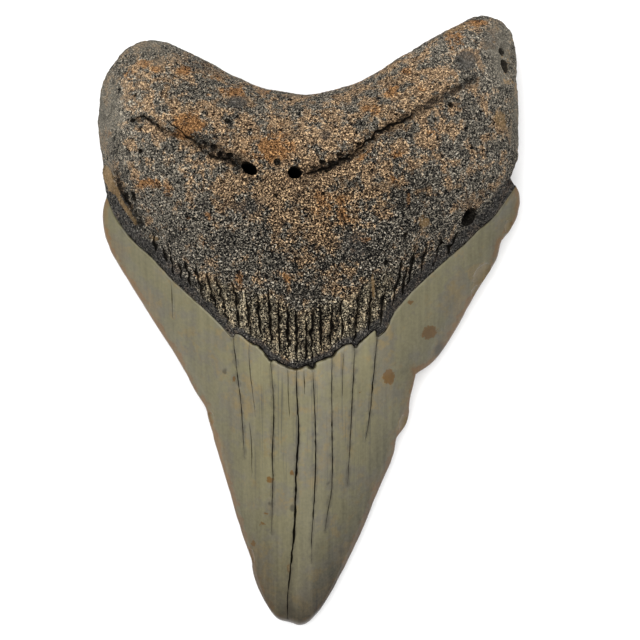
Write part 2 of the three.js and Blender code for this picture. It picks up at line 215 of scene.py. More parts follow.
@dataclass(frozen=True)
class Outline:
    """The outline seen from above: smooth runs that meet at the corners left by chips and shoulders."""

    shoulder: float = 0.62
    left_crown: tuple[Run, ...] = (
        Run(4, ((-7.1, -55.6), (-9.3, -51.8), (-10.6, -48.4), (-11.2, -44.8))),
        Run(9, ((-11.2, -44.8), (-13.1, -39.6), (-15.3, -32), (-17.6, -24.4), (-19.4, -18))),
        Run(15, (
            (-19.4, -18), (-19.9, -16.2), (-21.9, -13), (-24.9, -7.5), (-30.5, 1.4), (-36.2, 10.6),
            (-38.4, 14.8), (-39.3, 19.4), (-39.1, 21.9), (-38.3, 24.2),
        )),
    )
    right_crown: tuple[Run, ...] = (
        Run(11, ((2.1, -54.8), (5.7, -48.7), (9.7, -40.4), (13.8, -30.5), (15.9, -25.6), (16.5, -22.4))),
        Run(4, ((16.5, -22.4), (18.6, -19), (19.3, -14.3), (20.2, -9.9))),
        Run(9, ((20.2, -9.9), (23.5, -7.7), (26.9, -3.1), (32, 6), (35.5, 11.7), (36.3, 15))),
        Run(4, ((36.3, 15), (38.7, 18.3), (39.7, 20.8), (39.9, 24), (38.2, 27.2))),
    )
    left_root: tuple[Run, ...] = (
        Run(1, (
            (-38.3, 24.2), (-39.1, 28.2), (-39.1, 30.6), (-39.9, 35.4), (-39.9, 40), (-39, 45.9),
            (-37.3, 48.6),
        )),
    )
    right_root: tuple[Run, ...] = (
        Run(1, (
            (38.2, 27.2), (39.3, 31.1), (39.5, 35.5), (39.6, 40.2), (39.3, 45), (39.4, 50.6),
            (38.1, 54.8),
        )),
    )
    root_top: Places = (
        (-37.3, 48.6), (-34.5, 51.8), (-29.6, 53.3), (-23.7, 51.4), (-13.2, 46), (-4.7, 43.3),
        (2.9, 43.4), (11.1, 46.5), (20, 51.8), (29, 56.8), (32.4, 57.9), (36, 56.9), (38.1, 54.8),
    )
    tip: Places = ((-7.1, -55.6), (-5.9, -56.7), (-3.7, -57.3), (-2, -57.8), (-0.5, -57.4), (2.1, -54.8))
    # The cutting edges as they ran before they were chipped, as pairs of y and x
    left_whole: Places = (
        (-57, -7.2), (-50, -10.2), (-40, -13.2), (-20, -19.6), (-10, -23.8), (0, -29.8), (10, -36),
        (16, -39.2), (21, -39.8),
    )
    right_whole: Places = (
        (-57, 1.4), (-50, 5.2), (-40, 10.1), (-20, 18.6), (-10, 23), (0, 28.8), (8, 34), (16, 38.4),
        (21, 40),
    )

    def side(self, crown: tuple[Run, ...], root: tuple[Run, ...], v: np.ndarray) -> np.ndarray:
        """Reads one side of the outline.

        Args:
            crown: the runs from the tip to the shoulder.
            root: the runs from the shoulder to the top.
            v: shares of the way from the tip to the top.

        Returns:
            The points of the side, n by 2, in mm.
        """
        points = np.empty((len(v), 2))
        for runs, low, high in ((crown, 0.0, self.shoulder), (root, self.shoulder, 1.0)):
            row = (v - low) / (high - low) * sum(run.rows for run in runs)
            start = 0
            for run in runs:
                here = (v >= low) & (v <= high) & (row >= start) & (row <= start + run.rows)
                points[here] = Curve(run.points).at((row[here] - start) / run.rows)
                start += run.rows
        return points

    def plan(self, u: np.ndarray, v: np.ndarray) -> np.ndarray:
        """Stretches a patch between the four lines of the outline.

        Args:
            u: shares of the way from the left side to the right one.
            v: shares of the way from the tip to the root's top.

        Returns:
            The points of the plan, n by 2, in mm.
        """
        left = self.side(self.left_crown, self.left_root, v)
        right = self.side(self.right_crown, self.right_root, v)
        top, tip = Curve(self.root_top).at(u), Curve(self.tip).at(u)
        ends = np.array([0.0, 1.0])
        tip_left, top_left = self.side(self.left_crown, self.left_root, ends)
        tip_right, top_right = self.side(self.right_crown, self.right_root, ends)
        across, up = u[:, None], v[:, None]
        corners = lerp(lerp(tip_left, tip_right, across), lerp(top_left, top_right, across), up)
        return lerp(left, right, across) + lerp(tip, top, up) - corners

    def crown_edge(self) -> np.ndarray:
        """Follows the cutting edges from the left shoulder, round the tip, to the right one.

        Returns:
            Their points, n by 2, in mm.
        """
        left = [Curve(run.points, COARSELY).points for run in self.left_crown]
        right = [Curve(run.points, COARSELY).points for run in self.right_crown]
        return np.vstack([np.vstack(left)[::-1], self.tip, *right])

    def whole_share(self, plan: np.ndarray) -> np.ndarray:
        """Tells how far across the unchipped crown places lie.

        Args:
            plan: the places, n by 2, in mm.

        Returns:
            A share from -1 at the left cutting edge to 1 at the right one.
        """
        left = along(self.left_whole, plan[:, 1])
        right = along(self.right_whole, plan[:, 1])
        return np.clip((2.0 * plan[:, 0] - left - right) / (right - left), -1.0, 1.0)


@dataclass(frozen=True)
class EnamelEdge:
    """Where the enamel stops on each face: a V with a notch at every crack, and a shallow arch."""

    lingual: Places = (
        (-41, 27.5), (-38.3, 23.3), (-37.1, 20.3), (-34.7, 16.8), (-32.8, 14.7), (-29.8, 12.1),
        (-26, 8), (-22.2, 4.5), (-19, 1.6), (-16.4, -1), (-14.4, -2.9), (-13.9, -2.3), (-13.1, -2.4),
        (-11.2, -3.9), (-9.6, -4.6), (-8.3, -6), (-7.3, -7.4), (-6.7, -7.2), (-5.2, -8), (-2.5, -8.9),
        (-0.3, -8.2), (0.6, -8.9), (1.1, -7.8), (3.3, -6.8), (4.3, -6.5), (4.9, -5.7), (6.8, -4.3),
        (8, -4.2), (8.6, -4.9), (9.3, -4.1), (10.7, -2.9), (12.4, -1.6), (12.8, -2.8), (14.3, -1.7),
        (16, 1.8), (19.4, 5.7), (22.4, 8.5), (26.1, 11.9), (29.3, 14.6), (32.2, 17.5), (34.2, 19.1),
        (35.4, 20.4), (37.1, 22.8), (38.6, 24.9), (41, 28.5),
    )
    labial: Places = (
        (-41, 21), (-30, 15.5), (-18, 11), (-6, 8.2), (0, 7.6), (8, 8.6), (20, 13), (30, 18), (41, 24),
    )
    step: float = 0.4
    # Where the step rises, from the root's side of the edge to the enamel's
    ledge: Span = (-0.05, 0.4)
    # How quickly the step thins out near a cutting edge
    thinning: float = 5.0

    def inside(self, plan: np.ndarray, line: Places) -> np.ndarray:
        """Measures how far inside the enamel places lie.

        Args:
            plan: the places, n by 2, in mm.
            line: the edge on the face that they are on.

        Returns:
            The distance to the edge in mm, below zero on the root.
        """
        distance = distance_to(plan, line)
        return np.where(plan[:, 1] < np.interp(plan[:, 0], *np.array(line, float).T), distance, -distance)


@dataclass(frozen=True)
class Bulge:
    """How a face bulges: the powers of its crown, root and top, and how boxy its root is."""

    crown: float
    root: float
    root_box: float
    top: float


@dataclass(frozen=True)
class Section:
    """The heights of both faces in mm, by the share of the way from the tip to the root's top."""

    side: Places = ((0, 3), (0.1, 2.8), (0.3, 3.2), (0.5, 4.6), (0.62, 6.4), (0.74, 7.8), (1, 8.4))
    lingual: Places = (
        (0, 4.4), (0.05, 6.2), (0.2, 10.9), (0.37, 16.4), (0.5, 20), (0.62, 23), (0.7, 23.6),
        (0.82, 22.8), (1, 19.5),
    )
    labial: Places = (
        (0, 2), (0.1, 0.8), (0.2, -0.1), (0.34, -0.2), (0.48, 0.8), (0.62, 1.6), (0.8, 1.6), (1, 1.6),
    )
    lingual_bulge: Bulge = Bulge(2.1, 2.6, 0.55, 2.4)
    labial_bulge: Bulge = Bulge(2.2, 5.0, 0.4, 4.0)
    # The shares before and after the shoulder between which the crown's section becomes the root's
    root_from: float = 0.05
    root_to: float = 0.08
    lobe_rests: Places = ((-27, 40), (28, 42))
    lobe_rest_depth: float = 2.8
    lobe_rest_reach: float = 12.0
    crown_edge: float = 0.4
    root_edge: float = 0.8
    edge_chamfer: float = 0.45
    top_rounding: float = 0.28
    tip_rounding: float = 0.05
    swell_below: float = 3.0
    swell_above: float = 17.0

    def fullness(
        self, share: np.ndarray, v: np.ndarray, rootward: np.ndarray, bulge: Bulge
    ) -> np.ndarray:
        """Tells how full a face is: a sharp-edged lens in the crown, a rounded bar in the root.

        Args:
            share: how far across the tooth, from -1 to 1.
            v: how far from the tip to the top.
            rootward: 0 for the crown's section, 1 for the root's.
            bulge: how the face bulges.

        Returns:
            The share of the face's full height.
        """
        across = np.abs(share)
        crown = 1.0 - across**bulge.crown
        root = (1.0 - across**bulge.root) ** bulge.root_box
        top = np.clip((v - 1.0 + self.top_rounding) / self.top_rounding, 0.0, 1.0)
        tip = np.clip(1.0 - v / self.tip_rounding, 0.0, 1.0)
        rounding = np.sqrt((1.0 - top**bulge.top) * (1.0 - tip**2))
        return lerp(crown, root, rootward) * rounding


@dataclass(frozen=True)
class Furrow:
    """A cut that follows the surface: its points, width, depth, sideways wander and steps, in mm."""

    path: Places
    width: float
    depth: float
    wander: float = 0.07
    pitch: float = 1.1


def furrows(*rows: tuple[Places | float, ...]) -> tuple[Furrow, ...]:
    """Lists furrows from the values of each."""
    return tuple(Furrow(*row) for row in rows)


@dataclass(frozen=True)
class Trough:
    """A ragged hollow worn along a line of the bone: its line, half-width and depth, in mm."""

    path: Places
    half_width: float
    depth: float


@dataclass(frozen=True)
class Hole:
    """A round hole: its place, half-sizes, turn and lean, and how far it is sunk, in mm and radians."""

    place: Point
    radii: tuple[float, float, float]
    turn: float = 0.0
    lean: float = 0.0
    sink: float = 0.0


def holes(*rows: tuple[tuple[float, ...] | float, ...]) -> tuple[Hole, ...]:
    """Lists holes from the values of each."""
    return tuple(Hole(*row) for row in rows)


@dataclass(frozen=True)
class Stain:
    """A soft patch of paint: its middle and half-sizes in mm, its strength and its turn in radians."""

    x: float
    y: float
    half_x: float
    half_y: float
    strength: float
    turn: float = 0.0

    def over(self, plan: np.ndarray) -> np.ndarray:
        """Reads the stain.

        Args:
            plan: the places, n by 2, in mm.

        Returns:
            Its strength at each place.
        """
        dx, dy = plan[:, 0] - self.x, plan[:, 1] - self.y
        along_x = dx * math.cos(self.turn) + dy * math.sin(self.turn)
        along_y = dy * math.cos(self.turn) - dx * math.sin(self.turn)
        return self.strength * np.exp(-((along_x / self.half_x) ** 2) - (along_y / self.half_y) ** 2)


def stains(*rows: tuple[float, ...]) -> tuple[Stain, ...]:
    """Lists stains from the values of each."""
    return tuple(Stain(*row) for row in rows)


@dataclass
class ToothBody:
    """The body of the tooth, modelled from a flat grid that is extruded into a slab and stretched."""

    outline: Outline = field(default_factory=Outline)
    enamel: EnamelEdge = field(default_factory=EnamelEdge)
    section: Section = field(default_factory=Section)
    columns: int = 132
    crown_rows: int = 116
    root_rows: int = 46
    crowding: float = 0.6
    fine_margin: float = 1.3
    # Heights in mm of what roughens the bone, and of the enamel's faint waves
    lump: float = 0.32
    pit: float = 0.2
    grain: float = 0.09
    wave: float = 0.07
    # How quickly each of them changes, per mm
    lump_pitch: float = 0.16
    pit_pitch: float = 0.95
    grain_pitch: float = 2.1
    wave_pitch: float = 0.12
    # How deep a trough is in the mean and how much that varies, as shares of its depth
    rag_mean: float = 0.75
    rag_range: float = 0.9
    rag_pitch: float = 0.8
    # Where the roughness fades out: past the enamel's edge, and near the surface that the tooth lies on
    bone_fade: Span = (-0.45, -0.05)
    floor_fade: Span = (0.0, 0.8)
    # Troughs are worn into the lingual face only, which is all above this height
    trough_floor: float = 8.0
    nick: float = 0.22
    nick_pitch: float = 0.45
    nick_layer: float = 3.0
    # Where the nicks are, as shares across the tooth and along it
    nick_sides: Span = (0.94, 1.0)
    nick_end: Span = (0.6, 0.68)
    troughs: tuple[Trough, ...] = (
        Trough(((-22, 34), (-19.1, 32.6), (-16.4, 31.4), (-13, 29.6)), 1.5, 1.3),
        Trough(((-1.5, 27.5), (1.5, 28.6), (4, 29.2), (6.2, 30.4), (9, 32)), 1.3, 1.1),
        Trough(((9, 32), (12.4, 35), (16.6, 37.4), (22, 40.4), (27, 43.6), (31.5, 45.6)), 1, 0.6),
        Trough(((-33, 37.8), (-30.2, 38.2), (-27.4, 35.9), (-22, 34)), 0.8, 0.4),
        Trough(((-36.6, 28), (-35.4, 24.6), (-33.9, 21.6), (-31.8, 18.6)), 0.8, 0.8),
    )

    def slab(self) -> bpy.types.Object:
        """Models the slab, and divides it finely where the root and the enamel's edge will lie.

        Returns:
            The slab, 2 m long and wide and 1 m high, which is stretched to the tooth's shape afterwards.
        """
        rows = self.crown_rows + self.root_rows
        bpy.ops.mesh.primitive_grid_add(x_subdivisions=self.columns, y_subdivisions=rows, size=2)
        slab = bpy.context.object
        slab.name = slab.data.name = "tooth_surface"
        bpy.ops.object.mode_set(mode="EDIT")
        bpy.ops.mesh.select_all(action="SELECT")
        bpy.ops.mesh.extrude_region_move(TRANSFORM_OT_translate={"value": (0, 0, 1)})
        bpy.ops.mesh.select_all(action="SELECT")
        bpy.ops.mesh.normals_make_consistent(inside=False)
        bpy.ops.mesh.select_all(action="DESELECT")
        bpy.ops.object.mode_set(mode="OBJECT")
        centres = read(slab.data.polygons, "center", 3)
        plan = self.outline.plan(*self.shares(centres))
        fine = self.enamel.inside(plan, self.enamel.lingual) < self.fine_margin
        slab.data.polygons.foreach_set("select", fine & (centres[:, 2] > TOP_FACE))
        bpy.ops.object.mode_set(mode="EDIT")
        bpy.ops.mesh.select_mode(type="FACE")
        bpy.ops.mesh.subdivide(number_cuts=1)
        bpy.ops.mesh.select_mode(type="VERT")
        bpy.ops.object.mode_set(mode="OBJECT")
        return slab

    def shares(self, points: np.ndarray) -> tuple[np.ndarray, np.ndarray]:
        """Turns places on the slab into shares of the way across the tooth and along it.

        Args:
            points: the places, n by 3.

        Returns:
            The shares from the left side to the right one, and those from the tip to the root's top.
        """
        across = lerp(points[:, 0], np.sin(points[:, 0] * math.pi / 2), self.crowding)
        row = (points[:, 1] + 1.0) / 2.0 * (self.crown_rows + self.root_rows)
        crown = row / self.crown_rows * self.outline.shoulder
        late = np.clip((row - self.crown_rows) / self.root_rows, 0.0, 1.0)
        late = lerp(late, np.sin(late * math.pi / 2), self.crowding)
        root = lerp(self.outline.shoulder, 1.0, late)
        return (across + 1.0) / 2.0, np.where(row <= self.crown_rows, crown, root)

    def stretch(self, slab: bpy.types.Object) -> None:
        """Moves the slab's points to the tooth's two faces.

        Args:
            slab: the slab, whose mesh is changed.
        """
        points = read(slab.data.vertices, "co", 3)
        u, v = self.shares(points)
        plan = self.nicked(self.outline.plan(u, v), u, v)
        form, shoulder = self.section, self.outline.shoulder
        rootward = smoothstep(v, shoulder - form.root_from, shoulder + form.root_to)
        across = lerp(self.outline.whole_share(plan), 2.0 * u - 1.0, rootward)
        side = along(form.side, v)
        border = np.abs(points[:, :2]).max(axis=1) > BORDER
        edge = lerp(form.crown_edge, form.root_edge, rootward)
        edge = np.where(border, edge * form.edge_chamfer, edge)
        above_line = plan[:, 1] - along(self.enamel.lingual, plan[:, 0])
        swelling = smoothstep(above_line, -form.swell_below, form.swell_above)
        full = form.fullness(across, v, swelling, form.lingual_bulge)
        step = self.step(plan, self.enamel.lingual, full)
        upper = side + edge + (along(form.lingual, v) - side) * full + step
        rests = [np.hypot(*(plan - rest).T) / form.lobe_rest_reach for rest in form.lobe_rests]
        lobes = form.lobe_rest_depth * sum(np.exp(-(reach**2)) for reach in rests)
        full = form.fullness(across, v, rootward, form.labial_bulge)
        step = self.step(plan, self.enamel.labial, full)
        lower = side - edge - (side - along(form.labial, v) + lobes) * full - step
        height = np.where(points[:, 2] > TOP_FACE, upper, np.maximum(lower, 0.0))
        write(slab.data.vertices, "co", np.column_stack([plan, height]) * MM)
        slab.data.update()

    def step(self, plan: np.ndarray, line: Places, full: np.ndarray) -> np.ndarray:
        """Gives how far the enamel stands proud, thinning out at the cutting edges."""
        ledge = smoothstep(self.enamel.inside(plan, line), *self.enamel.ledge)
        return self.enamel.step * ledge * np.minimum(1.0, self.enamel.thinning * full)

    def nicked(self, plan: np.ndarray, u: np.ndarray, v: np.ndarray) -> np.ndarray:
        """Wears small nicks into the cutting edges.

        Args:
            plan: the places, n by 2, in mm.
            u: their shares of the way from the left side to the right one.
            v: their shares of the way from the tip to the root's top.

        Returns:
            The places, moved inwards at the nicks.
        """
        margin = smoothstep(np.abs(2.0 * u - 1.0), *self.nick_sides)
        margin *= 1.0 - smoothstep(v, *self.nick_end)
        middle = self.outline.plan(np.full(1, 0.5), np.full(1, 0.4))[0, 0]
        depth = self.nick * np.maximum(0.0, plan_noise(plan, self.nick_pitch, self.nick_layer)) * margin
        inward = np.column_stack([np.sign(middle - plan[:, 0]), np.zeros(len(plan))])
        return plan + inward * depth[:, None]

    def erode(self, body: bpy.types.Object) -> None:
        """Roughens the bone of the root with lumps, pits and troughs, and the enamel with faint waves.

        Args:
            body: the stretched tooth, whose mesh is changed.
        """
        points = read(body.data.vertices, "co", 3) / MM
        normals = read(body.data.vertex_normals, "vector", 3)
        inside = self.enamel.inside(points[:, :2], self.enamel.lingual)
        bone = 1.0 - smoothstep(inside, *self.bone_fade)
        rough = smoothstep(points[:, 2], *self.floor_fade)
        depth = np.array([self.weathering(Vector(point)) for point in points])
        waves = np.array([noise.noise(Vector(point) * self.wave_pitch) for point in points])
        ragged = np.array([noise.noise(Vector(point) * self.rag_pitch) for point in points])
        ragged = self.rag_mean + self.rag_range * ragged
        for trough in self.troughs:
            reach = distance_to(points[:, :2], Curve(trough.path, COARSELY).points) / trough.half_width
            depth -= trough.depth * ragged * np.exp(-(reach**2)) * (points[:, 2] > self.trough_floor)
        move = (depth * bone + self.wave * waves * (1.0 - bone)) * rough
        write(body.data.vertices, "co", (points + normals * move[:, None]) * MM)
        body.data.update()

    def weathering(self, point: Vector) -> float:
        """Gives how far the bone has swelled or worn away.

        Args:
            point: the place, in mm.

        Returns:
            The height in mm, below zero in a pit.
        """
        lumps = noise.fractal(point * self.lump_pitch, 0.9, 2.1, 4)
        cells = noise.voronoi(point * self.pit_pitch)[0]
        pits = min(1.0, cells[0] * 1.7) - 0.75
        return self.lump * lumps + self.pit * pits + self.grain * noise.noise(point * self.grain_pitch)


def read(items: bpy.types.bpy_prop_collection, name: str, width: int) -> np.ndarray:
    """Reads a property of all items of a mesh.

    Args:
        items: its vertices, faces or normals.
        name: the property.
        width: how many numbers it has for each item.

    Returns:
        The values, as an array of n by width.
    """
    values = np.empty(len(items) * width)
    items.foreach_get(name, values)
    return values.reshape(-1, width)


def write(items: bpy.types.bpy_prop_collection, name: str, values: np.ndarray) -> None:
    """Writes an array back to a property of all items of a mesh."""
    items.foreach_set(name, np.ascontiguousarray(values, dtype=np.float32).ravel())


@dataclass
class Carver:
    """Cuts the cracks, furrows, pits and vessel openings into the body."""

    # How far a cutter stands above the surface, in mm
    clearance: float = 1.2
    # A furrow's wander and swell: how quickly they change, which noise they read, and how strong they are
    furrow_pitch: float = 0.9
    wander_layer: float = 7.0
    swell_layer: float = 19.0
    swell: float = 0.6
    # How wide a furrow's ends are, as a share of its middle
    end_share: float = 0.2
    plug_pitch: float = 1.3
    plug_roughness: float = 0.14
    # Each row has the furrow's points, width and depth, and then its wander and steps where they differ
    cracks: tuple[Furrow, ...] = furrows(
        (((-14.4, -2.4), (-13.5, -10.7), (-13, -14.8), (-12.7, -19.1),
          (-12.3, -25.4)), 0.2, 0.5, 0.1, 0.8),
        (((-7.3, -6.9), (-6.7, -16.2), (-7, -25), (-6.9, -29.2), (-7.2, -40.2)), 0.22, 0.55, 0.1, 0.8),
        (((-2.4, -8.4), (-2.4, -12.8), (-2, -21), (-2.4, -26.5), (-2.9, -39.6), (-3.5, -45.9),
          (-4.1, -51.8), (-4.2, -57.5)), 0.42, 1, 0.14, 0.8),
        (((0.6, -8.4), (1, -16.2), (1.2, -25), (1, -31.8), (0.4, -41.5),
          (0.4, -45.7)), 0.25, 0.6, 0.1, 0.8),
        (((4.3, -6), (4.2, -14.9), (4.3, -22.1), (4.2, -31.6), (3.3, -37),
          (2.9, -40.2)), 0.21, 0.5, 0.1, 0.8),
        (((8.6, -4.4), (8.1, -14.5), (7.8, -20.6), (7.2, -30.9)), 0.2, 0.5, 0.1, 0.8),
        (((12.8, -2.3), (12.3, -8.1), (11.9, -12.3), (11.2, -19.1), (10.5, -22.7)), 0.22, 0.5, 0.1, 0.8),
    )
    hairlines: tuple[Furrow, ...] = furrows(
        (((-11.5, -4.6), (-11.2, -9.2), (-10.7, -13.4), (-10.2, -18)), 0.2, 0.25),
        (((-11.4, -19), (-11, -22.1), (-10.9, -29.5)), 0.2, 0.25),
        (((-4, -9), (-4, -13.4), (-3.7, -18)), 0.2, 0.25), (((-1, -9.2), (-0.9, -13.6)), 0.2, 0.25),
        (((-26.1, 7.2), (-25.9, 0.7)), 0.2, 0.25), (((6.4, -6), (6.2, -14)), 0.2, 0.22),
    )
    # Along the edge of the enamel, in three stretches, of which the middle one is the deepest
    enamel_grooves: tuple[Furrow, ...] = furrows(
        (EnamelEdge.lingual[1:9], 0.24, 0.2, 0.08, 0.6),
        (EnamelEdge.lingual[9:35], 0.5, 0.5, 0.12, 0.4),
        (EnamelEdge.lingual[35:-1], 0.24, 0.2, 0.08, 0.6),
    )
    stria_width: float = 0.7
    stria_depth: float = 0.85
    stria_wander: float = 0.5
    stria_pitch: float = 0.45
    stria_sway: float = 0.12
    sway_pitch: float = 7.0
    # Where each furrow of the root starts, how long it is, and how far its far end lies to the side
    striae: tuple[tuple[float, float, float, float], ...] = (
        (-29, 13, 4.2, -0.7), (-27.1, 11.2, 2.6, -0.4), (-25.6, 8.9, 5.8, -1), (-23.9, 7.9, 3.4, -0.8),
        (-22.3, 6.2, 6, -1.3), (-20, 4.2, 7, -1.6),
        (-17.4, 2.4, 6.8, -2.1), (-15.3, -0.4, 9.6, -2.3), (-13.2, -1.2, 9, -1.3), (-10.9, -2.4, 8.6, -1),
        (-9, -3.4, 8.8, -0.8),
        (-7.2, -5.4, 12, -0.4), (-5.5, -6.6, 11, -0.2), (-3.9, -7.2, 10, -0.1), (-2.4, -7.6, 10.5, -0.2),
        (-0.7, -7.8, 10, 0), (0.5, -7.6, 10, 0), (2.3, -5.6, 9, -0.2), (4.2, -5, 8.2, 0),
        (6.2, -3.6, 8, 0), (8.5, -3.8, 9.4, 0.7), (11.1, -1.9, 8.6, 0.4), (13.4, -1, 8, 0.9),
        (15.7, 3, 9, 1.9), (17.1, 4.9, 5.5, 1.3), (18.4, 6.4, 7.6, 1.6), (21, 9.2, 5.4, 1),
        (23.3, 10.4, 5.6, 1.7), (26, 12.6, 4.2, 2),
    )
    # Thin clefts that run on from the troughs beside the two vessel openings
    clefts: tuple[Furrow, ...] = furrows(
        (((-32.6, 38), (-31.6, 38.5), (-30.2, 38), (-28.6, 36.8), (-27.2, 35.5)), 0.6, 0.5, 0.4, 0.6),
        (((-26.6, 37.6), (-24.4, 35.8), (-22.4, 34.3), (-20.4, 33)), 0.6, 0.6, 0.4, 0.6),
        (((-20.8, 32.6), (-18.5, 31.2), (-16.2, 30.6), (-13.6, 29.4)), 0.7, 0.8, 0.9, 0.5),
        (((-0.8, 27.4), (1.6, 28.3), (3.6, 28.7), (5.6, 30.2), (8, 31.3)), 0.9, 0.9, 0.7, 0.5),
        (((8.4, 31.7), (10.5, 33.4), (12.4, 35), (14.4, 36.3), (16.6, 37.2),
          (19.6, 38.8)), 0.8, 0.8, 0.6, 0.5),
        (((-37.2, 28), (-36.3, 25.8), (-35, 23.6), (-33.4, 21.4), (-31.6, 19.2)), 0.5, 0.4, 0.5, 0.6),
    )
    # Each row has the hole's place and half-sizes, and then its turn, lean and sinking where it has them
    openings: tuple[Hole, ...] = holes(
        ((-11.2, 28.5), (1.75, 1.1, 4.6), -0.6, 0.35, 0.6),
        ((-2.8, 27.7), (1.5, 1.2, 4.2), 0.3, -0.25, 0.6),
    )
    # Shallow scars where flakes of enamel have sprung off the cutting edges
    flakes: tuple[Hole, ...] = holes(
        ((32.8, 9.1), (2.3, 1.9, 0.3), 0.5), ((31.6, 5.8), (1.2, 1.3, 0.25), 0.9),
        ((17.8, -19.4), (1.2, 1.9, 0.3), 0.2), ((37.8, 18.1), (1, 1.3, 0.25), 0.3),
        ((-18.6, -18.3), (0.9, 1.4, 0.25), 0.1), ((-11, -44.6), (0.8, 1.5, 0.25), 0.2),
    )
    pits: tuple[Hole, ...] = holes(
        ((-19.6, 33.4), (0.6, 0.4, 0.7)), ((-17.9, 32.7), (0.7, 0.5, 0.8)),
        ((-16.7, 31.2), (0.5, 0.7, 0.9)), ((-14.9, 31.2), (0.7, 0.6, 0.8)),
        ((-13.9, 29.8), (0.6, 0.5, 0.8)), ((0.6, 28.9), (0.6, 0.4, 0.8)), ((2.4, 29.8), (0.6, 0.5, 0.8)),
        ((3.2, 28.1), (0.4, 0.4, 0.6)), ((5.6, 31.2), (0.6, 0.5, 0.8)), ((7.2, 30.5), (0.5, 0.4, 0.7)),
        ((9.3, 33.2), (0.5, 0.4, 0.7)), ((11.9, 34.2), (0.4, 0.4, 0.7)), ((30.1, 19.7), (1.75, 2.1, 1.6)),
        ((-6, 29.8), (0.7, 0.7, 0.9)), ((4.2, 29.6), (0.75, 0.6, 0.9)), ((-15.3, 37.6), (0.6, 0.6, 0.8)),
        ((-31.7, 32), (0.5, 0.45, 0.8)), ((26.5, 40.6), (0.6, 0.6, 0.8)), ((18, 16.1), (0.5, 0.6, 0.7)),
        ((14.4, 11), (0.5, 0.7, 0.7)), ((-33.3, 23.5), (0.9, 1.2, 0.9)), ((36.3, 50.9), (0.7, 0.9, 0.6)),
        ((36.9, 48.1), (1, 1.5, 0.8), 0.5), ((-33.2, 37.8), (0.55, 0.5, 0.7)),
        ((-6.3, 23.5), (0.45, 0.45, 0.6)), ((2.6, 23.9), (0.45, 0.4, 0.6)),
    )

    def carve(self, body: bpy.types.Object) -> BVHTree:
        """Makes every cut.

        Args:
            body: the tooth, whose mesh is changed.

        Returns:
            The surface as it was before the cuts.
        """
        whole = surface_tree(body.data)
        self.cut(body, [self.hole(hole, whole) for hole in self.flakes])
        skin = surface_tree(body.data)
        striae = [self.stria(*row) for row in self.striae]
        groups = {"cracks": self.cracks, "hairlines": self.hairlines, "striae": striae,
                  "clefts": self.clefts, "enamel edge": self.enamel_grooves}
        for name, group in groups.items():
            # Neighbours are cut in turn, because two that touch would spoil one cut
            for first in (0, 1):
                self.cut(body, [self.furrow(furrow, skin) for furrow in group[first::2]])
            log.info("cut the %s: %d", name, len(group))
        self.cut(body, [self.hole(hole, skin) for hole in self.pits])
        self.cut(body, [self.hole(hole, skin) for hole in self.openings])
        log.info("cut the pits and the vessel openings: %d", len(self.pits) + len(self.openings))
        self.clear_slivers(body)
        return skin

    def clear_slivers(self, body: bpy.types.Object) -> None:
        """Deletes the slivers that the cuts have left loose, which is all that isn't joined to the tip.

        Args:
            body: the carved tooth, whose mesh is changed.
        """
        tip = read(body.data.vertices, "co", 3)[:, 1].argmin()
        bpy.ops.object.select_all(action="DESELECT")
        body.select_set(True)
        bpy.context.view_layer.objects.active = body
        bpy.ops.object.mode_set(mode="EDIT")
        bpy.ops.mesh.select_mode(type="VERT")
        bpy.ops.mesh.select_all(action="DESELECT")
        bpy.ops.object.mode_set(mode="OBJECT")
        body.data.vertices[int(tip)].select = True
        bpy.ops.object.mode_set(mode="EDIT")
        bpy.ops.mesh.select_linked()
        bpy.ops.mesh.select_all(action="INVERT")
        bpy.ops.mesh.delete(type="VERT")
        bpy.ops.object.mode_set(mode="OBJECT")

    def stria(self, x: float, y: float, length: float, drift: float) -> Furrow:
        """Describes one of the furrows that run up the root.

        Args:
            x: where it starts, across the tooth.
            y: where it starts, along the tooth.
            length: how far up the root it runs.
            drift: how far its far end lies to the side.

        Returns:
            The furrow.
        """
        sway = self.stria_sway * math.sin(self.sway_pitch * x)
        path = ((x, y), (x + drift / 2.0 + sway, y + length / 2.0), (x + drift, y + length))
        return Furrow(path, self.stria_width, self.stria_depth, self.stria_wander, self.stria_pitch)

    def furrow(self, furrow: Furrow, skin: BVHTree) -> bpy.types.Object:
        """Models the bar that cuts a furrow, by bending a straight one along the surface.

        Args:
            furrow: the cut.
            skin: the surface that it follows.

        Returns:
            The bar, as a closed object.
        """
        curve = Curve(furrow.path)
        steps = max(3, round(curve.length / furrow.pitch))
        bar = straight_bar(steps)
        points = read(bar.data.vertices, "co", 3)
        station = np.rint(points[:, 2]) / steps
        place = curve.at(station)
        heading = curve.at(np.minimum(station + 0.01, 1.0)) - curve.at(np.maximum(station - 0.01, 0.0))
        heading /= np.linalg.norm(heading, axis=1)[:, None]
        sideways = np.column_stack([-heading[:, 1], heading[:, 0]])
        wander = furrow.wander * plan_noise(place, self.furrow_pitch, self.wander_layer)
        swell = 1.0 + self.swell * plan_noise(place, self.furrow_pitch, self.swell_layer)
        place = place + sideways * wander[:, None]
        arch = np.sin(math.pi * (station * steps + 0.5) / (steps + 1)) ** 0.5
        taper = lerp(self.end_share, 1.0, arch) * swell
        deep = points[:, 1] > 0.0
        drop = np.where(deep, points[:, 1] * furrow.depth * taper, 0.0)
        lift = np.where(deep, 0.0, points[:, 1] / points[:, 1].min() * self.clearance)
        flare = 1.0 + self.clearance / furrow.depth
        half = furrow.width / 2.0 * taper * flare / np.abs(points[:, 0]).max()
        level = np.array([height_on(skin, x, y) for x, y in place])
        place = place + sideways * (points[:, 0] * half)[:, None]
        write(bar.data.vertices, "co", np.column_stack([place, level + lift - drop]) * MM)
        return bar

